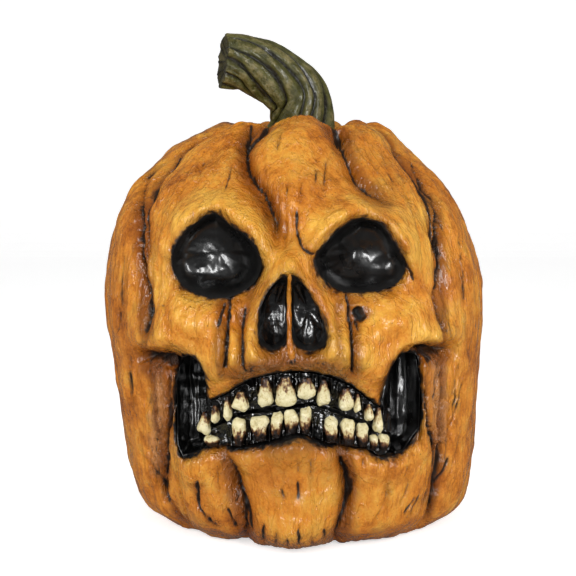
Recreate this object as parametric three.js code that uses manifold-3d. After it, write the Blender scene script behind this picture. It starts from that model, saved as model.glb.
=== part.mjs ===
// Skull pumpkin: a hollow ribbed pumpkin with a skull's face in its front, black sockets,
// teeth and a bent stem.
// Millimetres, +Z up, the face towards -Y, the origin on the floor under the middle of the base.
// Left and right are as seen from the front: left is -X.
import * as THREE from "three";
import { mergeVertices } from "three/addons/utils/BufferGeometryUtils.js";
import Module from "manifold-3d";

const wasm = await Module();
wasm.setup();

// Driving sizes of the body
const bodyWidth = 254;
const bodyDepth = 240;
const bodyHeight = 261;
const centreRibLift = 6;
const wall = 6;
const grooveDepth = 8;
const ribCount = 11;
const floorGap = 0.8;
const lowerBodyShift = 6;
const upperBodyShift = 3;
const stemShift = 4;

// Clearance between pieces that touch, and the distance at which points are one
const clearance = 0.3;
const weldDistance = 0.0001;

// Body profile from the middle of the underside, out over the belly and into the dimple on top:
// shares of the half width and of the height.
const profileShares = [
  [0.4, 0], [0.68, 0], [0.77, 0.014], [0.865, 0.052], [0.912, 0.113], [0.933, 0.19],
  [0.953, 0.29], [0.976, 0.4], [0.992, 0.515], [0.988, 0.605], [0.948, 0.705], [0.882, 0.793],
  [0.78, 0.86], [0.66, 0.912], [0.55, 0.958], [0.46, 0.986], [0.39, 1], [0.31, 0.99],
  [0.25, 0.963], [0.2, 0.948], [0.1, 0.948],
];
const crestIndex = 16;
const rowsPerSpan = [1, 1, 1, 1, 2, 4, 4, 5, 4, 5, 4, 3, 2, 2, 1, 1, 1, 1, 1, 1];
const cavitySides = 24;

// Base and stem
const openingRadius = 72;
const baseThickness = 10;
const stemHoleRadius = 15;
const spigotLength = 24;
const collarWidth = 10;
const collarThickness = 8;
const seamStripWidth = 24;
const seamStripThickness = 2.5;
const seamStripSpanShares = [0.15, 0.65];

// Openings in the face: the centre as shares of the body's width and height, the size, and the outline
// as shares of that size.
const eyeLeft = {
  centreShares: [-0.184, 0.705],
  width: 53.5,
  height: 49,
  depth: 22,
  outlineShares: [
    [-0.5, -0.1], [-0.44, 0.14], [-0.24, 0.38], [-0.02, 0.5], [0.14, 0.38], [0.4, 0.18],
    [0.5, -0.06], [0.42, -0.31], [0.17, -0.48], [-0.14, -0.49], [-0.4, -0.37],
  ],
};
const eyeRight = {
  centreShares: [0.154, 0.706],
  width: 53.5,
  height: 43,
  depth: 22,
  outlineShares: [
    [-0.5, -0.02], [-0.36, 0.22], [-0.17, 0.42], [0.02, 0.5], [0.2, 0.44], [0.36, 0.2],
    [0.5, -0.13], [0.44, -0.37], [0.15, -0.5], [-0.2, -0.48], [-0.42, -0.3],
  ],
};
// The nose openings lie on either side of the septum, whose middle is their centre.
const septumWidth = 1.1;
const noseLeft = {
  centreShares: [-0.0124, 0.586],
  side: -1,
  width: 17.5,
  height: 43.5,
  depth: 12,
  outlineShares: [
    [0.38, 0.5], [0.49, 0.25], [0.5, -0.1], [0.46, -0.36], [0.2, -0.47], [-0.12, -0.5],
    [-0.42, -0.4], [-0.5, -0.14], [-0.34, 0.15], [0, 0.37],
  ],
};
const noseRight = {
  centreShares: [-0.0124, 0.586],
  side: 1,
  width: 21,
  height: 43.5,
  depth: 12,
  outlineShares: [
    [-0.46, 0.5], [-0.12, 0.35], [0.2, 0.08], [0.45, -0.2], [0.48, -0.38], [0.2, -0.5],
    [-0.15, -0.5], [-0.4, -0.38], [-0.5, -0.1], [-0.5, 0.28],
  ],
};
// The mouth reaches up into a hollow behind each cheek. Its top and bottom edges run from left to right.
const mouth = {
  centreShares: [0.009, 0.354],
  width: 148,
  height: 67,
  depth: 11,
  hollowDepth: 34,
  topShares: [
    [-0.5, 0.2], [-0.48, 0.42], [-0.44, 0.47], [-0.4, 0.42], [-0.378, 0.3], [-0.368, 0.05],
    [-0.3, 0.12], [-0.19, 0.29], [-0.1, 0.34], [0.03, 0.36], [0.15, 0.3], [0.22, 0.21],
    [0.28, 0.09], [0.332, 0], [0.348, 0.17], [0.375, 0.39], [0.43, 0.49], [0.48, 0.45], [0.5, 0.2],
  ],
  bottomShares: [
    [-0.5, -0.4], [-0.476, -0.5], [-0.43, -0.465], [-0.36, -0.38], [-0.22, -0.355],
    [-0.07, -0.27], [0, -0.225], [0.1, -0.31], [0.2, -0.355], [0.27, -0.375], [0.33, -0.46],
    [0.43, -0.44], [0.5, -0.25],
  ],
  biteShares: [
    [-0.37, -0.22], [-0.27, -0.09], [-0.19, -0.035], [-0.03, 0.015], [0.06, 0.045],
    [0.17, -0.05], [0.28, -0.17], [0.36, -0.27],
  ],
};

// Swellings and creases of the face: each is a stroke along a path, as wide as its spread, that stands
// proud by its rise or sinks where the rise is below zero. Path points are shares of the body's size.
const reliefSpread = 10;
const reliefRise = 10;
const reliefStrokeShares = [
  {
    pathShares: [[-0.275, 0.71], [-0.25, 0.78], [-0.19, 0.825], [-0.125, 0.79], [-0.07, 0.735]],
    spreadShare: 1.1, riseShare: 1.2,
  },
  {
    pathShares: [[0.045, 0.735], [0.09, 0.79], [0.155, 0.82], [0.22, 0.79], [0.265, 0.735]],
    spreadShare: 1.1, riseShare: 1.2,
  },
  { pathShares: [[0.265, 0.735], [0.285, 0.68]], spreadShare: 0.9, riseShare: 0.5 },
  { pathShares: [[-0.115, 0.88], [-0.075, 0.825], [-0.037, 0.76]], spreadShare: 0.8, riseShare: -0.8 },
  { pathShares: [[0.13, 0.885], [0.16, 0.855], [0.19, 0.83]], spreadShare: 0.8, riseShare: -0.6 },
  { pathShares: [[-0.01, 0.95], [-0.01, 0.85], [-0.012, 0.79]], spreadShare: 1.7, riseShare: 0.6 },
  {
    pathShares: [[-0.014, 0.7], [-0.06, 0.635], [-0.098, 0.55], [-0.09, 0.49]],
    spreadShare: 0.9, riseShare: 1,
  },
  {
    pathShares: [[-0.007, 0.7], [0.037, 0.645], [0.084, 0.565], [0.094, 0.5]],
    spreadShare: 0.9, riseShare: 1,
  },
  { pathShares: [[-0.009, 0.66], [-0.009, 0.52]], spreadShare: 0.6, riseShare: 0.4 },
  { pathShares: [[-0.06, 0.735], [-0.012, 0.715], [0.04, 0.735]], spreadShare: 0.8, riseShare: -0.5 },
  {
    pathShares: [[-0.35, 0.5], [-0.285, 0.54], [-0.21, 0.55], [-0.16, 0.5]],
    spreadShare: 1.5, riseShare: 1.4,
  },
  {
    pathShares: [[0.355, 0.51], [0.29, 0.54], [0.22, 0.55], [0.16, 0.5]],
    spreadShare: 1.5, riseShare: 1.4,
  },
  {
    pathShares: [[-0.18, 0.45], [-0.08, 0.48], [0, 0.49], [0.08, 0.48], [0.19, 0.45]],
    spreadShare: 1.7, riseShare: 1,
  },
  { pathShares: [[-0.37, 0.455], [-0.3, 0.46]], spreadShare: 0.8, riseShare: -1.1 },
  { pathShares: [[0.31, 0.48], [0.38, 0.465]], spreadShare: 0.8, riseShare: -1.1 },
  { pathShares: [[-0.317, 0.45], [-0.325, 0.34], [-0.31, 0.24]], spreadShare: 0.7, riseShare: 0.6 },
  { pathShares: [[0.328, 0.46], [0.335, 0.335], [0.327, 0.24]], spreadShare: 0.7, riseShare: 0.6 },
  {
    pathShares: [[-0.26, 0.205], [-0.18, 0.235], [-0.1, 0.245], [-0.01, 0.275]],
    spreadShare: 1.1, riseShare: 0.7,
  },
  {
    pathShares: [[-0.01, 0.275], [0.09, 0.245], [0.18, 0.225], [0.26, 0.21]],
    spreadShare: 1.1, riseShare: 0.7,
  },
  { pathShares: [[-0.01, 0.2], [-0.01, 0.07]], spreadShare: 2.4, riseShare: 0.8 },
  { pathShares: [[-0.01, 0.03], [-0.01, 0.01]], spreadShare: 1.8, riseShare: 0.7 },
  {
    pathShares: [[-0.075, 0.728], [-0.11, 0.785], [-0.185, 0.82], [-0.26, 0.785], [-0.307, 0.72]],
    spreadShare: 0.55, riseShare: 0.45,
  },
  {
    pathShares: [
      [0.043, 0.732], [0.091, 0.785], [0.154, 0.812], [0.22, 0.785], [0.268, 0.724],
      [0.291, 0.659],
    ],
    spreadShare: 0.55, riseShare: 0.45,
  },
  {
    pathShares: [[-0.299, 0.659], [-0.268, 0.602], [-0.197, 0.579], [-0.134, 0.598]],
    spreadShare: 0.5, riseShare: 0.22,
  },
  {
    pathShares: [[0.26, 0.644], [0.205, 0.602], [0.118, 0.598], [0.067, 0.636]],
    spreadShare: 0.5, riseShare: 0.18,
  },
  { pathShares: [[-0.224, 0.851], [-0.173, 0.862]], spreadShare: 0.7, riseShare: -0.2 },
  { pathShares: [[0.087, 0.835], [0.165, 0.851], [0.228, 0.828]], spreadShare: 0.7, riseShare: -0.25 },
  {
    pathShares: [
      [-0.016, 0.701], [-0.047, 0.651], [-0.083, 0.598], [-0.102, 0.54], [-0.091, 0.494],
      [-0.047, 0.479],
    ],
    spreadShare: 0.38, riseShare: 0.42,
  },
  {
    pathShares: [
      [-0.008, 0.701], [0.028, 0.651], [0.071, 0.586], [0.091, 0.533], [0.071, 0.49],
      [0.031, 0.479],
    ],
    spreadShare: 0.38, riseShare: 0.42,
  },
  { pathShares: [[-0.094, 0.659], [-0.118, 0.605], [-0.13, 0.559]], spreadShare: 0.5, riseShare: -0.45 },
  { pathShares: [[0.067, 0.659], [0.098, 0.605], [0.114, 0.559]], spreadShare: 0.5, riseShare: -0.45 },
  { pathShares: [[-0.142, 0.575], [-0.142, 0.506], [-0.138, 0.444]], spreadShare: 0.32, riseShare: 0.24 },
  { pathShares: [[-0.181, 0.559], [-0.177, 0.498], [-0.185, 0.437]], spreadShare: 0.35, riseShare: 0.26 },
  { pathShares: [[0.114, 0.567], [0.114, 0.506], [0.098, 0.444]], spreadShare: 0.32, riseShare: 0.24 },
  { pathShares: [[0.154, 0.544], [0.157, 0.49], [0.15, 0.437]], spreadShare: 0.4, riseShare: 0.2 },
  {
    pathShares: [[-0.378, 0.498], [-0.331, 0.51], [-0.276, 0.502], [-0.236, 0.475], [-0.209, 0.429]],
    spreadShare: 0.55, riseShare: 0.45,
  },
  {
    pathShares: [[0.386, 0.506], [0.339, 0.517], [0.283, 0.513], [0.236, 0.49], [0.209, 0.441]],
    spreadShare: 0.55, riseShare: 0.45,
  },
  { pathShares: [[-0.283, 0.575], [-0.244, 0.548]], spreadShare: 0.8, riseShare: 0.3 },
  { pathShares: [[0.244, 0.563], [0.299, 0.582]], spreadShare: 0.8, riseShare: 0.3 },
  { pathShares: [[-0.118, 0.46], [-0.008, 0.475], [0.102, 0.456]], spreadShare: 0.5, riseShare: 0.25 },
  { pathShares: [[-0.291, 0.421], [-0.291, 0.307], [-0.28, 0.23]], spreadShare: 0.32, riseShare: 0.3 },
  { pathShares: [[0.311, 0.46], [0.307, 0.364], [0.319, 0.253]], spreadShare: 0.32, riseShare: 0.3 },
  { pathShares: [[-0.224, 0.176], [-0.217, 0.084]], spreadShare: 1.4, riseShare: 0.5 },
  { pathShares: [[0.213, 0.176], [0.205, 0.084]], spreadShare: 1.4, riseShare: 0.5 },
  { pathShares: [[-0.004, 0.169], [-0.004, 0.077]], spreadShare: 1.7, riseShare: 0.4 },
  {
    pathShares: [[-0.094, 1.011], [-0.11, 0.969], [-0.118, 0.939], [-0.118, 0.912]],
    spreadShare: 0.5, riseShare: -0.4,
  },
  {
    pathShares: [[-0.083, 0.839], [-0.067, 0.828], [-0.051, 0.797], [-0.043, 0.778]],
    spreadShare: 0.45, riseShare: -0.25,
  },
  {
    pathShares: [
      [0.087, 1.011], [0.11, 0.969], [0.126, 0.927], [0.142, 0.897], [0.161, 0.866],
      [0.185, 0.843], [0.205, 0.828],
    ],
    spreadShare: 0.5, riseShare: -0.4,
  },
  {
    pathShares: [[-0.335, 0.414], [-0.311, 0.31], [-0.319, 0.234], [-0.331, 0.149], [-0.327, 0.096]],
    spreadShare: 0.4, riseShare: -0.25,
  },
  {
    pathShares: [[0.339, 0.444], [0.335, 0.372], [0.35, 0.287], [0.354, 0.211]],
    spreadShare: 0.4, riseShare: -0.2,
  },
  {
    pathShares: [[-0.173, 0.253], [-0.138, 0.157], [-0.122, 0.107], [-0.118, 0.015]],
    spreadShare: 0.5, riseShare: -0.5,
  },
  {
    pathShares: [[0.11, 0.261], [0.126, 0.172], [0.118, 0.092], [0.106, 0.015]],
    spreadShare: 0.5, riseShare: -0.5,
  },
  { pathShares: [[0.354, 0.23], [0.343, 0.115], [0.331, 0.038]], spreadShare: 0.4, riseShare: -0.22 },
];

// Teeth from left to right, as shares of the mouth's width and height: the middle, the width, the root
// and the tip. The last number is the lean in degrees, clockwise as seen.
const upperToothShares = [
  [-0.382, 0.05, -0.06, -0.255, 8], [-0.338, 0.03, 0.012, -0.149, 0], [-0.286, 0.029, 0.122, -0.117, 0],
  [-0.234, 0.068, 0.225, -0.018, 3], [-0.134, 0.06, 0.299, 0.029, 0], [-0.053, 0.083, 0.302, 0.035, 0],
  [0.032, 0.078, 0.294, 0.101, 0], [0.101, 0.054, 0.275, 0.044, 0], [0.191, 0.06, 0.215, -0.01, -5],
  [0.237, 0.025, 0.146, -0.032, 0], [0.285, 0.034, 0.095, -0.12, -6], [0.323, 0.035, 0.015, -0.231, 0],
];
const lowerToothShares = [
  [-0.355, 0.057, -0.389, -0.268, 0], [-0.241, 0.053, -0.345, -0.09, 0], [-0.157, 0.067, -0.32, -0.059, 0],
  [-0.088, 0.047, -0.309, -0.017, 3], [-0.03, 0.056, -0.243, 0.003, 0], [0.028, 0.046, -0.224, 0.025, 0],
  [0.132, 0.059, -0.297, -0.062, 0], [0.201, 0.056, -0.36, -0.093, -3], [0.259, 0.047, -0.359, -0.135, -4],
  [0.304, 0.032, -0.381, -0.25, 0], [0.347, 0.044, -0.395, -0.25, 0],
];
const toothThickness = 8;
const gumRecess = 3;
const socketRimRecess = 4;
const socketWall = 2;
// The power that a bowl's depth falls off with: the higher, the flatter its floor.
const bowlPower = 2.6;

// Stem: the middle line as offsets from the stem hole, as shares of the stem's height over the seat
const stemHeight = 68;
const stemBaseRadius = 21.5;
const stemTipRadius = 17.5;
const stemRidgeCount = 10;
const stemRidgeDepth = 2.2;
const stemTwist = Math.PI * 0.6;
const stemPathShares = [
  [0, 0, 0], [0.018, 0, 0.26], [-0.045, -0.02, 0.47],
  [-0.25, -0.07, 0.64], [-0.5, -0.12, 0.755], [-0.73, -0.17, 0.78],
];
const stemSteps = 14;

// Small helpers
const halfWidth = bodyWidth / 2;
const depthRatio = bodyDepth / bodyWidth;
const shellInset = wall + grooveDepth;
const overrun = wall;
const lerp = THREE.MathUtils.lerp;
const smoothstep = THREE.MathUtils.smoothstep;
const clamp = THREE.MathUtils.clamp;

const profile = new THREE.SplineCurve(
  profileShares.map(([radiusShare, heightShare]) =>
    new THREE.Vector2(radiusShare * halfWidth, floorGap + heightShare * (bodyHeight - floorGap))),
);
const spanCount = profileShares.length - 1;
const crestShare = crestIndex / spanCount;

// How far the body's middle is shifted sideways at a height: the lower body to the right, the upper
// body to the left and the crown to the right again.
function axisShift(height) {
  const heightShare = height / bodyHeight;
  const crown = smoothstep(heightShare, 0.93, 1);
  const low = lowerBodyShift * clamp(1 - heightShare / 0.56, 0, 1);
  return low - upperBodyShift * smoothstep(heightShare, 0.56, 0.8) * (1 - crown) + stemShift * crown;
}

// The shift at a share of the profile; the whole dimple is shifted as its crest is.
function profileShift(share, height) {
  return axisShift(share > crestShare ? bodyHeight : height);
}

// The rib crest radius at a height on the belly, found by halving on the profile.
function crestRadiusAt(height) {
  let low = 2 / spanCount;
  let high = crestShare;
  for (let i = 0; i < 24; i += 1) {
    const middle = (low + high) / 2;
    if (profile.getPoint(middle).y < height) low = middle;
    else high = middle;
  }
  return profile.getPoint(low).x;
}

// Distance from a point of the front view to a path.
function distanceToPath(x, z, path) {
  let best = Infinity;
  for (let i = 0; i + 1 < path.length; i += 1) {
    const [ax, az] = path[i];
    const [bx, bz] = path[i + 1];
    const square = (bx - ax) ** 2 + (bz - az) ** 2;
    const along = clamp(((x - ax) * (bx - ax) + (z - az) * (bz - az)) / square, 0, 1);
    best = Math.min(best, Math.hypot(x - lerp(ax, bx, along), z - lerp(az, bz, along)));
  }
  return best;
}

const strokes = reliefStrokeShares.map(({ pathShares, spreadShare, riseShare }) => ({
  path: pathShares.map(([xShare, zShare]) => [xShare * bodyWidth, zShare * bodyHeight]),
  spread: spreadShare * reliefSpread,
  rise: riseShare * reliefRise,
}));

// Height of the face's relief over the ribs' crest surface, as seen from the front.
function relief(x, z) {
  return strokes.reduce(
    (sum, { path, spread, rise }) => sum + rise * Math.exp(-((distanceToPath(x, z, path) / spread) ** 2)),
    0,
  );
}

// The face's y at a place of the front view, for what is let into it.
function faceDepth(x, z) {
  const radius = crestRadiusAt(z);
  const across = clamp(x - axisShift(z), -0.98 * radius, 0.98 * radius);
  return -depthRatio * Math.sqrt(radius ** 2 - across ** 2) - relief(x, z);
}

// A point on the pumpkin's skin. The angle counts ribs from the front, and the ribs spread towards the
// front at the top. Grooves are dips along the profile's normal, hushed where the face is and where the
// forehead's creases take their place.
function skinPoint(angle, share) {
  const at = profile.getPoint(share);
  const tangent = profile.getTangent(share);
  const heightShare = at.y / bodyHeight;
  const ridge = Math.abs(Math.cos((ribCount / 2) * angle));
  const nearFace = 1 - smoothstep(Math.abs(angle), 0.52, 0.64);
  const faceBand = smoothstep(heightShare, 0.17, 0.3) * (1 - smoothstep(heightShare, 0.81, 0.88));
  const fade = smoothstep(share, 0.05, 0.14) * (1 - smoothstep(share, crestShare, 0.93));
  const strength = lerp(0.75, 1.2, smoothstep(heightShare, 0.6, 0.95));
  const spread = 0.52 * clamp((heightShare - 0.56) / 0.4, 0, 1) ** 2.5;
  const azimuth = angle + spread * Math.sin(angle);
  const forehead = 1 - smoothstep(Math.abs(azimuth), 0.55, 0.75);
  const creased = share < crestShare ? forehead * (1 - smoothstep(heightShare, 0.904, 0.981)) : 0;
  const dip = grooveDepth * strength * fade * (1 - Math.sqrt(ridge)) * (1 - nearFace * faceBand);
  const capped = Math.min(dip, grooveDepth) * (1 - creased);
  const lift = centreRibLift * Math.exp(-((angle / 0.3) ** 2)) * smoothstep(share, 0.6, crestShare)
    * (1 - smoothstep(share, crestShare, 0.9));
  const radius = at.x - capped * tangent.y;
  const height = at.y + capped * tangent.x + lift;
  const x = profileShift(share, at.y) + radius * Math.sin(azimuth);
  const y = -depthRatio * radius * Math.cos(azimuth);
  const frontness = smoothstep(Math.cos(azimuth), 0.12, 0.4) * smoothstep(share, 0.02, 0.1)
    * (1 - smoothstep(share, 0.72, crestShare));
  return [x, y - relief(x, height) * frontness, height];
}

// A point on the cavity's wall, under the deepest groove.
function cavityPoint(angle, share) {
  const at = profile.getPoint(share);
  const tangent = profile.getTangent(share);
  const beyond = share > crestShare;
  const radius = at.x - (beyond ? 0 : shellInset * tangent.y);
  const height = at.y + (beyond ? -shellInset : shellInset * tangent.x);
  const x = profileShift(share, at.y) + radius * Math.sin(angle);
  return [x, -depthRatio * radius * Math.cos(angle), height];
}

// Mesh building
function geometryOf(points, triangles) {
  const geometry = new THREE.BufferGeometry();
  geometry.setAttribute("position", new THREE.Float32BufferAttribute(points.flat(), 3));
  geometry.setIndex(triangles.flat());
  return geometry;
}

// A closed surface from rings of points, from the first ring's middle to the last ring's middle.
function ringsGeometry(rings) {
  const size = rings[0].length;
  const middle = (ring) => [0, 1, 2].map((axis) => ring.reduce((sum, point) => sum + point[axis], 0) / size);
  const points = [...rings.flat(), middle(rings[0]), middle(rings.at(-1))];
  const last = (rings.length - 1) * size;
  const firstMiddle = points.length - 2;
  const triangles = [];
  for (let i = 0; i < size; i += 1) {
    const next = (i + 1) % size;
    for (let start = 0; start < last; start += size) {
      triangles.push([start + i, start + next, start + size + next]);
      triangles.push([start + i, start + size + next, start + size + i]);
    }
    triangles.push([firstMiddle, next, i], [firstMiddle + 1, last + i, last + next]);
  }
  return geometryOf(points, triangles);
}

// A closed slab between two sheets of rows and columns; the near sheet faces -Y.
function slabGeometry(near, far) {
  const rows = near.length;
  const columns = near[0].length;
  const offset = rows * columns;
  const triangles = [];
  const quad = (a, b, c, d) => triangles.push([a, b, c], [a, c, d]);
  for (let i = 0; i + 1 < rows; i += 1) {
    for (let j = 0; j + 1 < columns; j += 1) {
      const a = i * columns + j;
      quad(a, a + 1, a + columns + 1, a + columns);
      quad(offset + a, offset + a + columns, offset + a + columns + 1, offset + a + 1);
    }
    const start = i * columns;
    const end = start + columns - 1;
    quad(start, start + columns, offset + start + columns, offset + start);
    quad(end, offset + end, offset + end + columns, end + columns);
  }
  for (let j = 0; j + 1 < columns; j += 1) {
    const top = (rows - 1) * columns + j;
    quad(j, offset + j, offset + j + 1, j + 1);
    quad(top, top + 1, offset + top + 1, offset + top);
  }
  return geometryOf([...near.flat(), ...far.flat()], triangles);
}

function solidOf(geometry) {
  const bare = geometry.clone();
  bare.deleteAttribute("normal");
  bare.deleteAttribute("uv");
  const merged = mergeVertices(bare, weldDistance);
  const mesh = new wasm.Mesh({
    numProp: 3,
    vertProperties: new Float32Array(merged.attributes.position.array),
    triVerts: new Uint32Array(merged.index.array),
  });
  return new wasm.Manifold(mesh);
}

function geometryFrom(solid) {
  const { numProp, vertProperties, triVerts } = solid.getMesh();
  const geometry = new THREE.BufferGeometry();
  geometry.setAttribute("position", new THREE.BufferAttribute(vertProperties, numProp));
  geometry.setIndex(new THREE.BufferAttribute(triVerts, 1));
  return geometry;
}

function boxSolid(low, high) {
  const size = high.map((value, axis) => value - low[axis]);
  const box = new THREE.BoxGeometry(...size);
  box.translate(...low.map((value, axis) => value + size[axis] / 2));
  return solidOf(box);
}

// An upright cylinder on the body's or the stem hole's middle line.
function pillarGeometry(radius, bottom, top, x, sides) {
  const pillar = new THREE.CylinderGeometry(radius, radius, top - bottom, sides);
  pillar.rotateX(Math.PI / 2);
  pillar.translate(x, 0, (bottom + top) / 2);
  return pillar;
}

// Outlines of the openings
const outlineSteps = 26;

function splinePoints(points, closed, steps) {
  const places = points.map(([x, z]) => new THREE.Vector3(x, 0, z));
  const curve = new THREE.CatmullRomCurve3(places, closed, "centripetal");
  const made = curve.getPoints(steps).map((point) => [point.x, point.z]);
  return closed ? made.slice(0, -1) : made;
}

// A place in an opening, from shares of its size. An opening with a side stands beside the septum.
function place({ centreShares, side = 0, width, height }, [xShare, zShare]) {
  const aside = (side * (septumWidth + width)) / 2;
  const across = centreShares[0] * bodyWidth + aside + xShare * width;
  return [across, centreShares[1] * bodyHeight + zShare * height];
}

function openingOutline(opening, steps = outlineSteps) {
  return splinePoints(opening.outlineShares.map((shares) => place(opening, shares)), true, steps);
}

// Moves an anticlockwise outline's points inwards by an amount.
function insetOutline(outline, amount) {
  const count = outline.length;
  return outline.map(([x, z], i) => {
    const [px, pz] = outline[(i + count - 1) % count];
    const [nx, nz] = outline[(i + 1) % count];
    const length = Math.hypot(nx - px, nz - pz);
    return [x + (amount * (pz - nz)) / length, z + (amount * (nx - px)) / length];
  });
}

const isClockwise = (outline) =>
  THREE.ShapeUtils.isClockWise(outline.map(([x, z]) => new THREE.Vector2(x, z)));
const anticlockwise = (outline) => (isClockwise(outline) ? [...outline].reverse() : outline);

// The height of an edge that runs from left to right, at an x.
function edgeHeight(edge, x) {
  const i = clamp(edge.filter(([edgeX]) => edgeX <= x).length, 1, edge.length - 1);
  const [ax, az] = edge[i - 1];
  const [bx, bz] = edge[i];
  return lerp(az, bz, clamp((x - ax) / (bx - ax), 0, 1));
}

const mouthBite = mouth.biteShares.map((shares) => place(mouth, shares));
const mouthEdges = [mouth.bottomShares, mouth.topShares].map((shares) =>
  shares.map((point) => place(mouth, point)),
);
const mouthColumns = [...new Set(mouthEdges.flat().map(([x]) => x))].sort((a, b) => a - b);
const [mouthBottom, mouthTop] = mouthEdges.map((edge) => mouthColumns.map((x) => [x, edgeHeight(edge, x)]));
const mouthOutline = [...mouthBottom, ...mouthTop.toReversed()];

// A prism through the face, from an outline of the front view.
function faceCutter(outline) {
  const shape = new THREE.Shape(outline.map(([x, z]) => new THREE.Vector2(x, z)));
  const prism = new THREE.ExtrudeGeometry(shape, { depth: bodyDepth, bevelEnabled: false });
  prism.rotateX(Math.PI / 2);
  return solidOf(prism);
}

// Body
function rowShares(counts) {
  const shares = counts.flatMap((count, span) =>
    Array.from({ length: count }, (_, i) => (span + i / count) / spanCount));
  return [...shares, 1];
}

const ribHalfAngle = Math.PI / ribCount;

// Angles of the mesh's columns: many across the face's ribs, fewer on the others.
function columnAngles(faceColumns, sideColumns, backColumns) {
  const angles = [];
  for (let rib = 0; rib < ribCount; rib += 1) {
    const turn = rib > ribCount / 2 ? rib - ribCount : rib;
    const count = [faceColumns, faceColumns, sideColumns, sideColumns][Math.abs(turn)] ?? backColumns;
    for (let i = 0; i < count; i += 1) {
      angles.push((2 * turn - 1 + (2 * i) / count) * ribHalfAngle);
    }
  }
  return angles.sort((a, b) => a - b);
}

function bodySolid(pointAt, angles, shares) {
  return solidOf(ringsGeometry(shares.map((share) => angles.map((angle) => pointAt(angle, share)))));
}

const cavityStep = (2 * Math.PI) / cavitySides;
const cavityAngles = Array.from({ length: cavitySides }, (_, i) => i * cavityStep - Math.PI);
const cavityShares = rowShares(rowsPerSpan.map(() => 1)).filter((_, i) => i % 2 === 0);
const cavity = bodySolid(cavityPoint, cavityAngles, cavityShares);
const stemSeatHeight = profile.getPoint(1).y;
const cavityTop = stemSeatHeight - shellInset;
const opening = solidOf(pillarGeometry(openingRadius, -overrun, shellInset + overrun, axisShift(0), 48));
const stemHole = solidOf(
  pillarGeometry(stemHoleRadius, cavityTop - overrun, bodyHeight + overrun, axisShift(bodyHeight), 24),
);

// Half of the body on one side of the joint across its middle; the side is -1 in front and 1 behind.
function halfShell(side, angles, shares) {
  const near = (side * clearance) / 2;
  const far = side * bodyDepth;
  const half = boxSolid(
    [-bodyWidth, Math.min(near, far), -overrun],
    [bodyWidth, Math.max(near, far), bodyHeight + 2 * centreRibLift],
  );
  const solid = bodySolid(skinPoint, angles, shares).intersect(half);
  return solid.subtract(cavity).subtract(opening).subtract(stemHole);
}

function frontShell() {
  const shell = halfShell(-1, columnAngles(16, 8, 3), rowShares(rowsPerSpan));
  const outlines = [eyeLeft, eyeRight, noseLeft, noseRight].map((hole) => openingOutline(hole));
  return [...outlines, mouthOutline].reduce((left, outline) => left.subtract(faceCutter(outline)), shell);
}

function rearShell() {
  return halfShell(1, columnAngles(2, 5, 5), rowShares(rowsPerSpan.map((count) => Math.ceil(count / 3))));
}

// The disc that closes the underside and carries the body.
function baseDisc() {
  return pillarGeometry(openingRadius - clearance, 0, baseThickness, axisShift(0), 48);
}

// A strip inside the joint between the halves; the side is -1 for left and 1 for right.
function seamStrip(side) {
  const [lowShare, highShare] = seamStripSpanShares;
  const shares = cavityShares.filter((share) => share > lowShare && share < highShare);
  const sheet = (depth) => shares.map((share) => {
    const [x, , z] = cavityPoint((side * Math.PI) / 2, share);
    return [-1, 1].map((end) => [x - side * depth, (end * seamStripWidth) / 2, z]);
  });
  const gap = cavityBulge(seamStripWidth / 2) + clearance;
  const sheets = [sheet(gap), sheet(gap + seamStripThickness)];
  return side < 0 ? slabGeometry(...sheets.toReversed()) : slabGeometry(...sheets);
}

// How much further in the cavity's flat-sided wall is at a distance from the joint than at the joint.
function cavityBulge(distance) {
  return (distance * Math.tan(cavityStep / 2)) / depthRatio;
}

// A bowl let into an opening: its rim lies behind the skin, its floor deeper.
function socketBowl(hole, steps, levels) {
  const outline = anticlockwise(openingOutline(hole, steps));
  const [middleX, middleZ] = place(hole, [0, 0]);
  const rimMiddle = faceDepth(middleX, middleZ) + socketRimRecess;
  const ringAt = (inset, depth, level) => insetOutline(outline, inset).map(([x, z], i) => {
    const rim = faceDepth(...outline[i]) + socketRimRecess;
    const sink = depth * (1 - level ** bowlPower);
    return [lerp(middleX, x, level), lerp(rimMiddle, rim, level) + sink, lerp(middleZ, z, level)];
  });
  const inner = levels.map((level) => ringAt(clearance + socketWall, hole.depth - socketWall, level));
  const outer = levels.map((level) => ringAt(clearance, hole.depth, level));
  return ringsGeometry([...outer, ...inner.toReversed()]);
}

// The black lining of the mouth: a plate behind the gums, and a bowl in the hollow behind each cheek.
const linerLevels = [0, 0.03, 0.08, 0.5, 0.92, 0.97, 1];
const linerGap = 2 * clearance;

function mouthAside(x) {
  return Math.abs(x - place(mouth, [0, 0])[0]) / mouth.width;
}

function mouthFloor(x) {
  const hollow = smoothstep(mouthAside(x), 0.37, 0.42);
  return gumFront(x) - gumRecess + lerp(mouth.depth, mouth.hollowDepth, hollow);
}

function mouthLiner() {
  const count = mouthColumns.length;
  const sheet = (inset, floorDrop) => {
    const edge = insetOutline(mouthOutline, inset);
    return linerLevels.map((level) => mouthColumns.map((column, i) => {
      const [low, high] = [edge[i], edge[2 * count - 1 - i]];
      const x = lerp(low[0], high[0], level);
      const z = lerp(low[1], high[1], level);
      const floor = mouthFloor(x) + floorDrop;
      const rim = lerp(floor, faceDepth(x, z) + socketRimRecess, smoothstep(mouthAside(column), 0.37, 0.4));
      const aside = (column - mouthColumns[0]) / mouth.width;
      const sideways = smoothstep(Math.min(aside, 1 - aside), 0, 0.05);
      const upright = smoothstep(Math.min(level, 1 - level), 0, 0.07);
      return [x, lerp(rim, floor, sideways * upright), z];
    }));
  };
  return slabGeometry(sheet(linerGap + socketWall, 0), sheet(linerGap, socketWall));
}

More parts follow.
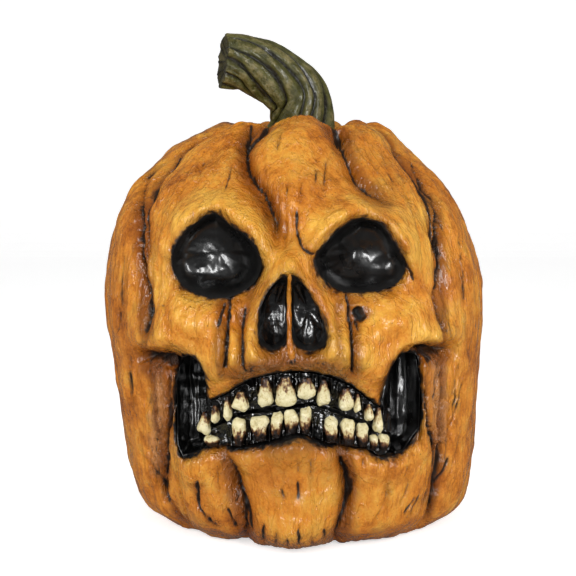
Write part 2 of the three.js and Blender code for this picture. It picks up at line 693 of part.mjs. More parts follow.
// A gum between an edge of the mouth and the bite; the side is 1 for the upper and -1 for the lower. It
// runs on past the corners of the lips, so that the last teeth stand on it too.
const gumBiteGap = 3;
const lipCornerShare = 0.355;
const gumReachShare = 0.38;
const gumEndShare = 0.55;

function gum(side) {
  const inset = insetOutline(mouthOutline, clearance);
  const count = mouthColumns.length;
  const lip = side > 0 ? inset.slice(count).toReversed() : inset.slice(0, count);
  const [middleX] = place(mouth, [0, 0]);
  const corner = lipCornerShare * mouth.width;
  const reach = gumReachShare * mouth.width;
  const inner = mouthColumns.filter((x) => mouthAside(x) < lipCornerShare);
  const columns = [middleX - reach, middleX - corner, ...inner, middleX + corner, middleX + reach];
  const sheet = (depthAt) => [0, 0.5, 1].map((level) =>
    columns.map((x, i) => {
      const biteHeight = edgeHeight(mouthBite, x) + side * gumBiteGap;
      const cornerHeight = edgeHeight(lip, clamp(x, middleX - corner, middleX + corner));
      const atEnd = i === 0 || i === columns.length - 1;
      const lipHeight = lerp(cornerHeight, biteHeight, atEnd ? gumEndShare : 0);
      const z = lerp(Math.min(lipHeight, biteHeight), Math.max(lipHeight, biteHeight), level);
      return [x, depthAt(x), z];
    }));
  return slabGeometry(sheet(gumFront), sheet((x) => gumFront(x) - gumRecess + mouth.depth - clearance));
}

// The gums' front follows the body's curve, behind the skin.
function gumFront(x) {
  const [, middleZ] = place(mouth, [0, 0]);
  const radius = crestRadiusAt(middleZ);
  return gumRecess - depthRatio * Math.sqrt(radius ** 2 - (x - axisShift(middleZ)) ** 2);
}

// A tooth: a rounded peg that stands on the gum's front, thick in the middle and slim at the tip.
const toothSides = 8;
const lipGap = 1;
const toothLevels = [
  { levelShare: 0, widthShare: 0.64, thicknessShare: 0.5 },
  { levelShare: 0.35, widthShare: 0.88, thicknessShare: 0.9 },
  { levelShare: 0.78, widthShare: 1, thicknessShare: 0.95 },
  { levelShare: 1, widthShare: 0.7, thicknessShare: 0.45 },
];

function toothGeometry([xShare, widthShare, rootShare, tipShare, lean]) {
  const [x, rootWish] = place(mouth, [xShare, rootShare]);
  const [, tip] = place(mouth, [xShare, tipShare]);
  const width = widthShare * mouth.width;
  const upper = tip < rootWish;
  const lipEdge = upper ? mouthTop : mouthBottom;
  const lipHeights = [-1, 0, 1].map((end) => edgeHeight(lipEdge, x + (end * width) / 2));
  const root = upper
    ? Math.min(rootWish, ...lipHeights.map((height) => height - lipGap))
    : Math.max(rootWish, ...lipHeights.map((height) => height + lipGap));
  const length = Math.abs(tip - root);
  const rings = toothLevels.map((row) =>
    Array.from({ length: toothSides }, (_, i) => {
      const turn = ((i + 0.5) / toothSides) * 2 * Math.PI;
      const squared = (value) => Math.sign(value) * Math.abs(value) ** 0.7;
      return [
        (squared(Math.cos(turn)) * row.widthShare * width) / 2,
        (squared(Math.sin(turn)) * row.thicknessShare * toothThickness) / 2,
        (row.levelShare - 0.5) * length,
      ];
    }));
  const geometry = ringsGeometry(rings);
  if (upper) geometry.rotateY(Math.PI);
  geometry.rotateY(THREE.MathUtils.degToRad(lean));
  const radius = crestRadiusAt(root);
  geometry.rotateZ(Math.asin((x - axisShift(root)) / radius));
  geometry.translate(x, gumFront(x) - clearance - toothThickness / 2, (root + tip) / 2);
  return geometry;
}

// The stem: a bent, tapering stalk with twisting ridges, whose spigot fits the stem hole.
function stemGeometry() {
  const seat = new THREE.Vector3(axisShift(bodyHeight), 0, stemSeatHeight + clearance);
  const curve = new THREE.CatmullRomCurve3(
    stemPathShares.map(([x, y, z]) => new THREE.Vector3(x, y, z).multiplyScalar(stemHeight).add(seat)),
  );
  const sides = stemRidgeCount * 2;
  const start = curve.getPoint(0);
  const spigot = [spigotLength, 0].map((drop) => ({
    centre: start.clone().setZ(stemSeatHeight + clearance - drop),
    direction: new THREE.Vector3(0, 0, 1),
    radius: () => stemHoleRadius - clearance - Math.abs(start.x - seat.x),
    twist: 0,
  }));
  const stalk = Array.from({ length: stemSteps + 1 }, (_, i) => {
    const share = i / stemSteps;
    const flare = 0.12 * Math.exp(-((share / 0.12) ** 2));
    const size = lerp(stemBaseRadius, stemTipRadius, share) * (1 + flare);
    return {
      centre: curve.getPoint(share),
      direction: i === 0 ? new THREE.Vector3(0, 0, 1) : curve.getTangent(share),
      radius: (side) => size - (side % 2) * stemRidgeDepth,
      twist: stemTwist * share,
    };
  });
  const rings = [...spigot, ...stalk].map(({ centre, direction, radius, twist }) => {
    const across = new THREE.Vector3(0, 1, 0).cross(direction).normalize();
    const beside = direction.clone().cross(across);
    return Array.from({ length: sides }, (_, side) => {
      const turn = twist + (side / sides) * 2 * Math.PI;
      return centre.clone()
        .addScaledVector(across, radius(side) * Math.cos(turn))
        .addScaledVector(beside, radius(side) * Math.sin(turn))
        .toArray();
    });
  });
  return ringsGeometry(rings);
}

// The collar that holds the spigot under the crown.
function stemRing() {
  const top = cavityTop - clearance;
  const bottom = top - collarThickness;
  const inner = stemHoleRadius;
  const outer = inner + collarWidth;
  const section = [[inner, bottom], [outer, bottom], [outer, top], [inner, top], [inner, bottom]];
  const outline = section.map(([radius, height]) => new THREE.Vector2(radius, height));
  const ring = new THREE.LatheGeometry(outline, 24);
  ring.rotateX(Math.PI / 2);
  ring.translate(axisShift(bodyHeight), 0, 0);
  return ring;
}

// Materials
const finish = (color, roughness) => new THREE.MeshStandardMaterial({ color, roughness, metalness: 0 });
const orangePaint = finish(0xd18427, 0.4);
const blackGloss = finish(0x0a0906, 0.15);
const toothPaint = finish(0xe2dcb2, 0.45);
const stemPaint = finish(0x55532a, 0.55);
const bareCasting = finish(0x2f2b26, 0.8);

const pumpkin = new THREE.Group();

function addPiece(name, geometry, material) {
  const mesh = new THREE.Mesh(geometry, material);
  mesh.name = name;
  pumpkin.add(mesh);
}

const numbered = (name, i) => `${name}_${String(i + 1).padStart(2, "0")}`;
const bowlLevels = [0.3, 0.55, 0.75, 0.9, 1];

addPiece("front_shell", geometryFrom(frontShell()), orangePaint);
addPiece("rear_shell", geometryFrom(rearShell()), orangePaint);
addPiece("base_disc", baseDisc(), bareCasting);
addPiece("seam_strip_left", seamStrip(-1), bareCasting);
addPiece("seam_strip_right", seamStrip(1), bareCasting);
addPiece("stem", stemGeometry(), stemPaint);
addPiece("stem_ring", stemRing(), bareCasting);
addPiece("eye_socket_left", socketBowl(eyeLeft, 20, bowlLevels), blackGloss);
addPiece("eye_socket_right", socketBowl(eyeRight, 20, bowlLevels), blackGloss);
addPiece("nose_cup_left", socketBowl(noseLeft, 14, bowlLevels), blackGloss);
addPiece("nose_cup_right", socketBowl(noseRight, 14, bowlLevels), blackGloss);
addPiece("mouth_liner", mouthLiner(), blackGloss);
addPiece("upper_gum", gum(1), blackGloss);
addPiece("lower_gum", gum(-1), blackGloss);
upperToothShares.forEach((shares, i) =>
  addPiece(numbered("upper_tooth", i), toothGeometry(shares), toothPaint),
);
lowerToothShares.forEach((shares, i) =>
  addPiece(numbered("lower_tooth", i), toothGeometry(shares), toothPaint),
);

export default pumpkin;
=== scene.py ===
"""Dresses a skull pumpkin decoration: a varnished, hand-painted hard casting with a bent stem.

Every surface is worked out with numpy in millimetres, on the same formulas as the solid model, and
goes into its mesh in metres. +Z is up, the face looks towards -Y, and left is -X, as seen from the
front.
"""

from __future__ import annotations

import logging
import math
from dataclasses import dataclass, field
from enum import Enum
from functools import cached_property
from typing import Any

import bpy
import numpy as np
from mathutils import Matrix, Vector


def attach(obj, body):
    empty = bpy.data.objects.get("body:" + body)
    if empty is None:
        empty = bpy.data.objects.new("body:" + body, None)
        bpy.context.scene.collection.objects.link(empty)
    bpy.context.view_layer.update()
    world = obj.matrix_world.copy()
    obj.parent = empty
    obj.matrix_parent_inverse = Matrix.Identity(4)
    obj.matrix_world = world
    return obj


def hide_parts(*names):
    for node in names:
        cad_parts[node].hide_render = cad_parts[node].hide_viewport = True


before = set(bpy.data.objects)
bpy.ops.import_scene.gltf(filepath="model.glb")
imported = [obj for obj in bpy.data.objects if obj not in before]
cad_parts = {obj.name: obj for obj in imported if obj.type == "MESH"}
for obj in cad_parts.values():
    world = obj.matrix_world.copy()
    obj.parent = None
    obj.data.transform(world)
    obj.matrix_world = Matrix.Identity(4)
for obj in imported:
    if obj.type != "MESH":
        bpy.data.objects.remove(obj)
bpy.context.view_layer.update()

log = logging.getLogger("skull_pumpkin")
Array = np.ndarray
Point = tuple[float, float]
MM = 0.001
BODY_WIDTH, BODY_DEPTH, BODY_HEIGHT = 254.0, 240.0, 261.0
# The rim distance where no opening is near, how far off an opening is looked for, and a place across
# that lies outside them all.
NO_RIM, RIM_REACH, OUT_OF_VIEW = 60.0, 24.0, 999.0
# What the body's paint reads at each point.
PAINT_FIELDS = ("rim", "wash", "crack", "swell", "crown", "bare", "glow")


class Side(Enum):
    """Which half of the body a shell is."""

    FRONT = "front"
    REAR = "rear"


class Cut(Enum):
    """How a line is worked into the face: a crack, a sharp valley between two pillows, or a ridge."""

    CRACK = "crack"
    FOLD = "fold"
    RIDGE = "ridge"


class Jaw(Enum):
    """The two rows of teeth."""

    UPPER = "upper"
    LOWER = "lower"


# Plain arithmetic on arrays


def smoothstep(value: Array | float, low: float, high: float) -> Array:
    """Rises from 0 at low to 1 at high along 3t^2 - 2t^3."""
    t = np.clip((np.asarray(value) - low) / (high - low), 0.0, 1.0)
    return t * t * (3.0 - 2.0 * t)


def lerp(a: Any, b: Any, t: Any) -> Any:
    """Blends from a to b by t."""
    return a + (b - a) * t


def spline(points: Array, closed: bool, steps: int) -> Array:
    """Puts a centripetal Catmull-Rom curve through points.

    Between two points the curve is the cubic that meets both and whose slopes there follow the
    neighbours, weighted by the square roots of the distances.

    Args:
        points: an (n, k) array.
        closed: whether the curve runs back to its start.
        steps: how many equal parts of the parameter are made.

    Returns:
        The curve's points; a closed curve leaves out the repeat of its start.
    """
    count = len(points)
    share = np.arange(steps + (0 if closed else 1)) / steps * (count if closed else count - 1)
    index = np.minimum(np.floor(share).astype(int), count - (1 if closed else 2))
    part = (share - index)[:, None]
    if closed:
        row = [points[(index + k) % count] for k in (-1, 0, 1, 2)]
    else:
        padded = np.vstack([2 * points[0] - points[1], points, 2 * points[-1] - points[-2]])
        row = [padded[index + k] for k in range(4)]
    pairs = zip(row, row[1:])
    gaps = [np.maximum(np.sum((b - a) ** 2, axis=1, keepdims=True) ** 0.25, 1e-6) for a, b in pairs]
    p0, p1, p2, p3 = row
    first = ((p1 - p0) / gaps[0] - (p2 - p0) / (gaps[0] + gaps[1]) + (p2 - p1) / gaps[1]) * gaps[1]
    second = ((p2 - p1) / gaps[1] - (p3 - p1) / (gaps[1] + gaps[2]) + (p3 - p2) / gaps[2]) * gaps[1]
    cubic = 2 * p1 - 2 * p2 + first + second
    square = -3 * p1 + 3 * p2 - 2 * first - second
    return ((cubic * part + square) * part + first) * part + p1


def path_distance(x: Array, z: Array, path: Array, reach: float) -> Array:
    """Measures the distance from places of the front view to a path.

    Args:
        x: places across.
        z: places up.
        path: an (n, 2) array of the path's points.
        reach: distances beyond this are given as this.

    Returns:
        The least distance to the path's segments, found by projecting each place on each segment.
    """
    best = np.full(np.shape(x), reach**2)
    near = (x > path[:, 0].min() - reach) & (x < path[:, 0].max() + reach)
    near &= (z > path[:, 1].min() - reach) & (z < path[:, 1].max() + reach)
    px, pz = x[near], z[near]
    squares = best[near]
    for (ax, az), (bx, bz) in zip(path, path[1:]):
        dx, dz = bx - ax, bz - az
        along = np.clip(((px - ax) * dx + (pz - az) * dz) / max(dx * dx + dz * dz, 1e-9), 0.0, 1.0)
        squares = np.minimum(squares, (px - ax - along * dx) ** 2 + (pz - az - along * dz) ** 2)
    best[near] = squares
    return np.sqrt(best)


@dataclass(frozen=True)
class Grain:
    """Seeded lattice noise between about -1 and 1.

    Attributes:
        seed: picks the random values.
        cell: the size of the largest waves along x, y and z, in millimetres.
        octaves: how many layers are added, each half as large and half as strong as the last.
    """

    seed: int
    cell: tuple[float, float, float]
    octaves: int

    def at(self, points: Array) -> Array:
        """Blends random lattice values with quintic weights along each axis and adds the layers.

        Args:
            points: an (..., 3) array in millimetres.

        Returns:
            The noise at each point.
        """
        size = 64
        table = np.random.default_rng(self.seed).uniform(-1.0, 1.0, (size, size, size))
        total = np.zeros(points.shape[:-1])
        for octave in range(self.octaves):
            place = points / np.array(self.cell) * 2**octave + 17.3 * octave
            base = np.floor(place).astype(int)
            part = place - base
            weight = part**3 * (part * (6.0 * part - 15.0) + 10.0)
            for corner in np.ndindex(2, 2, 2):
                index = (base + np.array(corner)) % size
                share = np.prod(np.where(np.array(corner) == 1, weight, 1.0 - weight), axis=-1)
                total += 0.5**octave * share * table[index[..., 0], index[..., 1], index[..., 2]]
        return total / (2.0 - 0.5 ** (self.octaves - 1)) * 1.6


# The body's form


@dataclass(frozen=True)
class Opening:
    """A hole in the face.

    Attributes:
        centre: the middle in the front view.
        size: width and height.
        depth: how far its bowl goes in behind the rim.
        lip: how wide the skin's rolled edge is, and how far it rolls in.
        outline_shares: the outline as shares of the size, round the middle.
    """

    centre: Point
    size: Point
    depth: float
    lip: Point
    outline_shares: tuple[Point, ...]

    def places(self, shares: Any) -> Array:
        """Turns shares of the size into places of the front view."""
        return np.array(self.centre) + np.array(shares) * np.array(self.size)

    def outline(self, steps: int) -> Array:
        """Runs a closed curve through the outline's points, anticlockwise as seen from the front.

        Args:
            steps: how many points the curve gets.

        Returns:
            A (steps, 2) array.
        """
        curve = spline(self.places(self.outline_shares), True, steps)
        x, z = curve.T
        area = np.sum(x * np.roll(z, -1) - z * np.roll(x, -1))
        return curve if area > 0 else curve[::-1]


def inset(outline: Array, amount: float) -> Array:
    """Moves an anticlockwise outline's points inwards, square to the line between their neighbours.

    Args:
        outline: an (n, 2) array.
        amount: how far the points go.

    Returns:
        The moved points.
    """
    along = np.roll(outline, -1, axis=0) - np.roll(outline, 1, axis=0)
    along /= np.linalg.norm(along, axis=1, keepdims=True)
    return outline + amount * np.stack([-along[:, 1], along[:, 0]], axis=1)


def nearest_on(outline: Array, x: Array, z: Array, reach: float) -> tuple[Array, Array, Array]:
    """Finds the nearest point of a closed outline and on which side of it each place lies.

    Args:
        outline: an (n, 2) array.
        x: places across.
        z: places up.
        reach: places farther than this from the outline's box get this as their distance.

    Returns:
        The signed distance, below zero inside, and the nearest point's x and z.
    """
    distance = np.full(np.shape(x), reach)
    near_x, near_z = np.array(x, float), np.array(z, float)
    low, high = outline.min(axis=0) - reach, outline.max(axis=0) + reach
    close = (x > low[0]) & (x < high[0]) & (z > low[1]) & (z < high[1])
    px, pz = x[close], z[close]
    best = np.full(px.shape, np.inf)
    found_x, found_z = np.zeros_like(px), np.zeros_like(px)
    inside = np.zeros(px.shape, bool)
    for (ax, az), (bx, bz) in zip(outline, np.roll(outline, -1, axis=0)):
        dx, dz = bx - ax, bz - az
        along = np.clip(((px - ax) * dx + (pz - az) * dz) / max(dx * dx + dz * dz, 1e-12), 0.0, 1.0)
        qx, qz = ax + along * dx, az + along * dz
        square = (px - qx) ** 2 + (pz - qz) ** 2
        better = square < best
        best = np.where(better, square, best)
        found_x, found_z = np.where(better, qx, found_x), np.where(better, qz, found_z)
        if dz != 0:
            crosses = (az > pz) != (bz > pz)
            inside ^= crosses & (px < ax + (pz - az) / dz * dx)
    signed = np.minimum(np.sqrt(best), reach) * np.where(inside, -1.0, 1.0)
    distance[close], near_x[close], near_z[close] = signed, found_x, found_z
    return distance, near_x, near_z


@dataclass(frozen=True)
class Stroke:
    """A swelling or crease of the face along a path, shaped like a bell across it.

    Attributes:
        path: points of the front view.
        spread: the bell's half width.
        rise: how far it stands proud, or sinks where it is below zero.
    """

    path: tuple[Point, ...]
    spread: float
    rise: float

    def at(self, x: Array, z: Array) -> Array:
        """Works out rise times e to the minus square of distance over spread, along a smooth curve.

        Args:
            x: places across.
            z: places up.

        Returns:
            The height of the stroke at each place.
        """
        points = np.array(self.path)
        curve = spline(points, False, 6 * (len(points) - 1)) if len(points) > 2 else points
        return self.rise * np.exp(-((path_distance(x, z, curve, 3.2 * self.spread) / self.spread) ** 2))


@dataclass(frozen=True)
class Carving:
    """A line worked into the face.

    Attributes:
        path: points of the front view.
        width: half width of a crack or ridge, or how far a fold reaches to each side.
        depth: how deep it is cut, or how high a ridge stands.
        stain_and_shade: how much black line and brown lie in it, from 0 to 1: stain and painted shade.
        cut: how it is worked.
    """

    path: tuple[Point, ...]
    width: float
    depth: float
    stain_and_shade: float
    cut: Cut

    def curve(self) -> Array:
        """A smooth line through the path."""
        points = np.array(self.path, float)
        return spline(points, False, 8 * (len(points) - 1)) if len(points) > 2 else points

    def taper(self, curve: Array, x: Array, z: Array) -> Array:
        """Fades the line out at both ends, by the distance along the line from each end inwards.

        Args:
            curve: the smooth line.
            x: places across.
            z: places up.

        Returns:
            The share of its depth that the line has there.
        """
        length = np.hypot(*np.diff(curve, axis=0).T).sum()
        fade = min(1.4 * self.width + 1.5, 0.3 * length)
        share = np.ones(np.shape(x))
        for end, after in ((curve[0], curve[1]), (curve[-1], curve[-2])):
            inward = (after - end) / np.hypot(*(after - end))
            along = (x - end[0]) * inward[0] + (z - end[1]) * inward[1]
            close = np.hypot(x - end[0], z - end[1]) < 3 * (self.width + 1)
            share = share * np.where(close, smoothstep(along, -0.6 * fade, fade), 1.0)
        return share

    def work(self, x: Array, z: Array) -> tuple[Array, Array, Array]:
        """Works the line at places of the front view.

        A fold's depth follows quarter circles on both sides, so that two pillows meet in a sharp
        valley; cracks and ridges are bell-shaped.

        Args:
            x: places across.
            z: places up.

        Returns:
            The depth below the skin, the black line in it, and the brown round it: wash and painted shade.
        """
        fold = self.cut is Cut.FOLD
        reach = self.width if fold else 5.0 * self.width
        curve = self.curve()
        distance = path_distance(x, z, curve, max(reach, 6.0))
        taper = self.taper(curve, x, z)
        depth, stain_and_shade = self.depth * taper, self.stain_and_shade * taper
        bell = np.exp(-((distance / self.width) ** 2))
        if fold:
            pillow = 1 - np.sqrt(1 - (1 - np.clip(distance / self.width, 0, 1)) ** 2)
            line = np.exp(-(distance**2))
            brown = np.exp(-((distance / (0.36 * self.width)) ** 2))
            return depth * pillow, 0.8 * stain_and_shade * line, stain_and_shade * brown
        if self.cut is Cut.RIDGE:
            return -depth * bell, np.zeros_like(x), np.zeros_like(x)
        wash = 0.6 * stain_and_shade * np.exp(-((distance / (2.4 * self.width)) ** 2))
        return depth * bell, stain_and_shade * np.exp(-((distance / max(self.width, 0.85)) ** 2)), wash


@dataclass(frozen=True)
class Shade:
    """A soft patch along a path, such as a sprayed shadow.

    Attributes:
        path: points of the front view.
        spread: the patch's half width.
        strength: its weight in the middle.
    """

    path: tuple[Point, ...]
    spread: float
    strength: float

    def at(self, x: Array, z: Array) -> Array:
        """Strength times e to the minus square of distance over spread."""
        distance = path_distance(x, z, np.array(self.path, float), 3.0 * self.spread)
        return self.strength * np.exp(-((distance / self.spread) ** 2))


@dataclass(frozen=True)
class Skin:
    """The body's surface at a grid of places.

    Attributes:
        points: (..., 3) places in millimetres.
        fields: what the paint reads, by name.
    """

    points: Array
    fields: dict[str, Array]


def lines(cut: Cut, *rows: tuple) -> tuple[Carving, ...]:
    """Turns rows of width, depth, darkening and then the path's points into carvings of one kind."""
    return tuple(Carving(tuple(path), width, depth, stain_and_shade, cut) for width, depth, stain_and_shade, *path in rows)


def front_share(*pairs: tuple[float, float]) -> tuple[Point, ...]:
    """Turns shares of the body's width and height into places of the front view."""
    return tuple((BODY_WIDTH * x, BODY_HEIGHT * z) for x, z in pairs)


def broad_strokes(*rows: tuple) -> tuple[Stroke, ...]:
    """Turns rows of spread, rise and then the path's shares of the body into strokes."""
    return tuple(Stroke(front_share(*path), spread, rise) for spread, rise, *path in rows)


def strokes(*rows: tuple) -> tuple[Stroke, ...]:
    """Turns rows of spread, rise and then the path's points into strokes."""
    return tuple(Stroke(tuple(path), spread, rise) for spread, rise, *path in rows)


def shades(*rows: tuple) -> tuple[Shade, ...]:
    """Turns rows of spread, strength and then the path's points into soft patches."""
    return tuple(Shade(tuple(path), spread, strength) for spread, strength, *path in rows)


EYE_LEFT = Opening(
    (-46.74, 184.0), (53.5, 49.0), 22.0, (9.0, 4.4),
    ((-0.5, -0.1), (-0.44, 0.14), (-0.24, 0.38), (-0.02, 0.5), (0.14, 0.38), (0.4, 0.18),
     (0.5, -0.06), (0.42, -0.31), (0.17, -0.48), (-0.14, -0.49), (-0.4, -0.37)),
)
EYE_RIGHT = Opening(
    (39.12, 184.27), (53.5, 43.0), 22.0, (9.0, 4.4),
    ((-0.5, -0.02), (-0.36, 0.22), (-0.17, 0.42), (0.02, 0.5), (0.2, 0.44), (0.36, 0.2),
     (0.5, -0.13), (0.44, -0.37), (0.15, -0.5), (-0.2, -0.48), (-0.42, -0.3)),
)
NOSE_LEFT = Opening(
    (-12.45, 152.95), (17.5, 43.5), 12.0, (2.6, 2.2),
    ((0.38, 0.5), (0.49, 0.25), (0.5, -0.1), (0.46, -0.36), (0.2, -0.47), (-0.12, -0.5),
     (-0.42, -0.4), (-0.5, -0.14), (-0.34, 0.15), (0, 0.37)),
)
NOSE_RIGHT = Opening(
    (7.9, 152.95), (21.0, 43.5), 12.0, (2.6, 2.2),
    ((-0.46, 0.5), (-0.12, 0.35), (0.2, 0.08), (0.45, -0.2), (0.48, -0.38), (0.2, -0.5),
     (-0.15, -0.5), (-0.4, -0.38), (-0.5, -0.1), (-0.5, 0.28)),
)
MOUTH_TOP = (
    (-0.5, 0.2), (-0.48, 0.42), (-0.44, 0.47), (-0.4, 0.42), (-0.378, 0.3), (-0.368, 0.05),
    (-0.3, 0.12), (-0.19, 0.29), (-0.1, 0.34), (0.03, 0.36), (0.15, 0.3), (0.22, 0.21),
    (0.28, 0.09), (0.332, 0), (0.348, 0.17), (0.375, 0.39), (0.43, 0.49), (0.48, 0.45), (0.5, 0.2),
)
MOUTH_BOTTOM = (
    (-0.5, -0.4), (-0.476, -0.5), (-0.43, -0.465), (-0.36, -0.38), (-0.22, -0.355),
    (-0.07, -0.27), (0, -0.225), (0.1, -0.31), (0.2, -0.355), (0.27, -0.375), (0.33, -0.46),
    (0.43, -0.44), (0.5, -0.25),
)
MOUTH_BITE = (
    (-0.37, -0.22), (-0.27, -0.09), (-0.19, -0.035), (-0.03, 0.015), (0.06, 0.045),
    (0.17, -0.05), (0.28, -0.17), (0.36, -0.27),
)
MOUTH = Opening((2.286, 92.394), (148.0, 67.0), 34.0, (4.5, 3.4), MOUTH_BOTTOM + MOUTH_TOP[::-1])

STROKES = broad_strokes(
    (11, 12, (-0.275, 0.71), (-0.25, 0.78), (-0.19, 0.825), (-0.125, 0.79), (-0.07, 0.735)),
    (11, 12, (0.045, 0.735), (0.09, 0.79), (0.155, 0.82), (0.22, 0.79), (0.265, 0.735)),
    (9, 5, (0.265, 0.735), (0.285, 0.68)),
    (8, -8, (-0.115, 0.88), (-0.075, 0.825), (-0.037, 0.76)),
    (8, -6, (0.13, 0.885), (0.16, 0.855), (0.19, 0.83)),
    (17, 6, (-0.01, 0.95), (-0.01, 0.85), (-0.012, 0.79)),
    (9, 10, (-0.014, 0.7), (-0.06, 0.635), (-0.098, 0.55), (-0.09, 0.49)),
    (9, 10, (-0.007, 0.7), (0.037, 0.645), (0.084, 0.565), (0.094, 0.5)),
    (6, 4, (-0.009, 0.66), (-0.009, 0.52)),
    (8, -5, (-0.06, 0.735), (-0.012, 0.715), (0.04, 0.735)),
    (15, 14, (-0.35, 0.5), (-0.285, 0.54), (-0.21, 0.55), (-0.16, 0.5)),
    (15, 14, (0.355, 0.51), (0.29, 0.54), (0.22, 0.55), (0.16, 0.5)),
    (17, 10, (-0.18, 0.45), (-0.08, 0.48), (0, 0.49), (0.08, 0.48), (0.19, 0.45)),
    (8, -11, (-0.37, 0.455), (-0.3, 0.46)),
    (8, -11, (0.31, 0.48), (0.38, 0.465)),
    (7, 6, (-0.317, 0.45), (-0.325, 0.34), (-0.31, 0.24)),
    (7, 6, (0.328, 0.46), (0.335, 0.335), (0.327, 0.24)),
    (11, 7, (-0.26, 0.205), (-0.18, 0.235), (-0.1, 0.245), (-0.01, 0.275)),
    (11, 7, (-0.01, 0.275), (0.09, 0.245), (0.18, 0.225), (0.26, 0.21)),
    (24, 8, (-0.01, 0.2), (-0.01, 0.07)),
    (18, 7, (-0.01, 0.03), (-0.01, 0.01)),
)

FINE_STROKES = strokes(
    (5.5, 4.5, (-19, 190), (-28, 205), (-47, 214), (-66, 205), (-78, 188)),
    (5.5, 4.5, (11, 191), (23, 205), (39, 212), (56, 205), (68, 189), (74, 172)),
    (5.0, 2.2, (-76, 172), (-68, 157), (-50, 151), (-34, 156)),
    (5.0, 1.8, (66, 168), (52, 157), (30, 156), (17, 166)),
    (7.0, -2.0, (-57, 222), (-44, 225)),
    (7.0, -2.5, (22, 218), (42, 222), (58, 216)),
    (3.8, 4.2, (-4, 183), (-12, 170), (-21, 156), (-26, 141), (-23, 129), (-12, 125)),
    (3.8, 4.2, (-2, 183), (7, 170), (18, 153), (23, 139), (18, 128), (8, 125)),
    (5.0, -4.5, (-24, 172), (-30, 158), (-33, 146)),
    (5.0, -4.5, (17, 172), (25, 158), (29, 146)),
    (3.2, 2.4, (-36, 150), (-36, 132), (-35, 116)),
    (3.5, 2.6, (-46, 146), (-45, 130), (-47, 114)),
    (3.2, 2.4, (29, 148), (29, 132), (25, 116)),
    (4.0, 2.0, (39, 142), (40, 128), (38, 114)),
    (5.5, 4.5, (-96, 130), (-84, 133), (-70, 131), (-60, 124), (-53, 112)),
    (5.5, 4.5, (98, 132), (86, 135), (72, 134), (60, 128), (53, 115)),
    (8.0, 3.0, (-72, 150), (-62, 143)),
    (8.0, 3.0, (62, 147), (76, 152)),
    (5.0, 2.5, (-30, 120), (-2, 124), (26, 119)),
    (3.2, 3.0, (-74, 110), (-74, 80), (-71, 60)),
    (3.2, 3.0, (79, 120), (78, 95), (81, 66)),
    (14.0, 5.0, (-57, 46), (-55, 22)),
    (14.0, 5.0, (54, 46), (52, 22)),
    (17.0, 4.0, (-1, 44), (-1, 20)),
    (5.0, -4.0, (-24, 264), (-28, 253), (-30, 245), (-30, 238)),
    (4.5, -2.5, (-21, 219), (-17, 216), (-13, 208), (-11, 203)),
    (5.0, -4.0, (22, 264), (28, 253), (32, 242), (36, 234), (41, 226), (47, 220), (52, 216)),
    (4.0, -2.5, (-85, 108), (-79, 81), (-81, 61), (-84, 39), (-83, 25)),
    (4.0, -2.0, (86, 116), (85, 97), (89, 75), (90, 55)),
    (5.0, -5.0, (-44, 66), (-35, 41), (-31, 28), (-30, 4)),
    (5.0, -5.0, (28, 68), (32, 45), (30, 24), (27, 4)),
    (4.0, -2.2, (90, 60), (87, 30), (84, 10)),
)

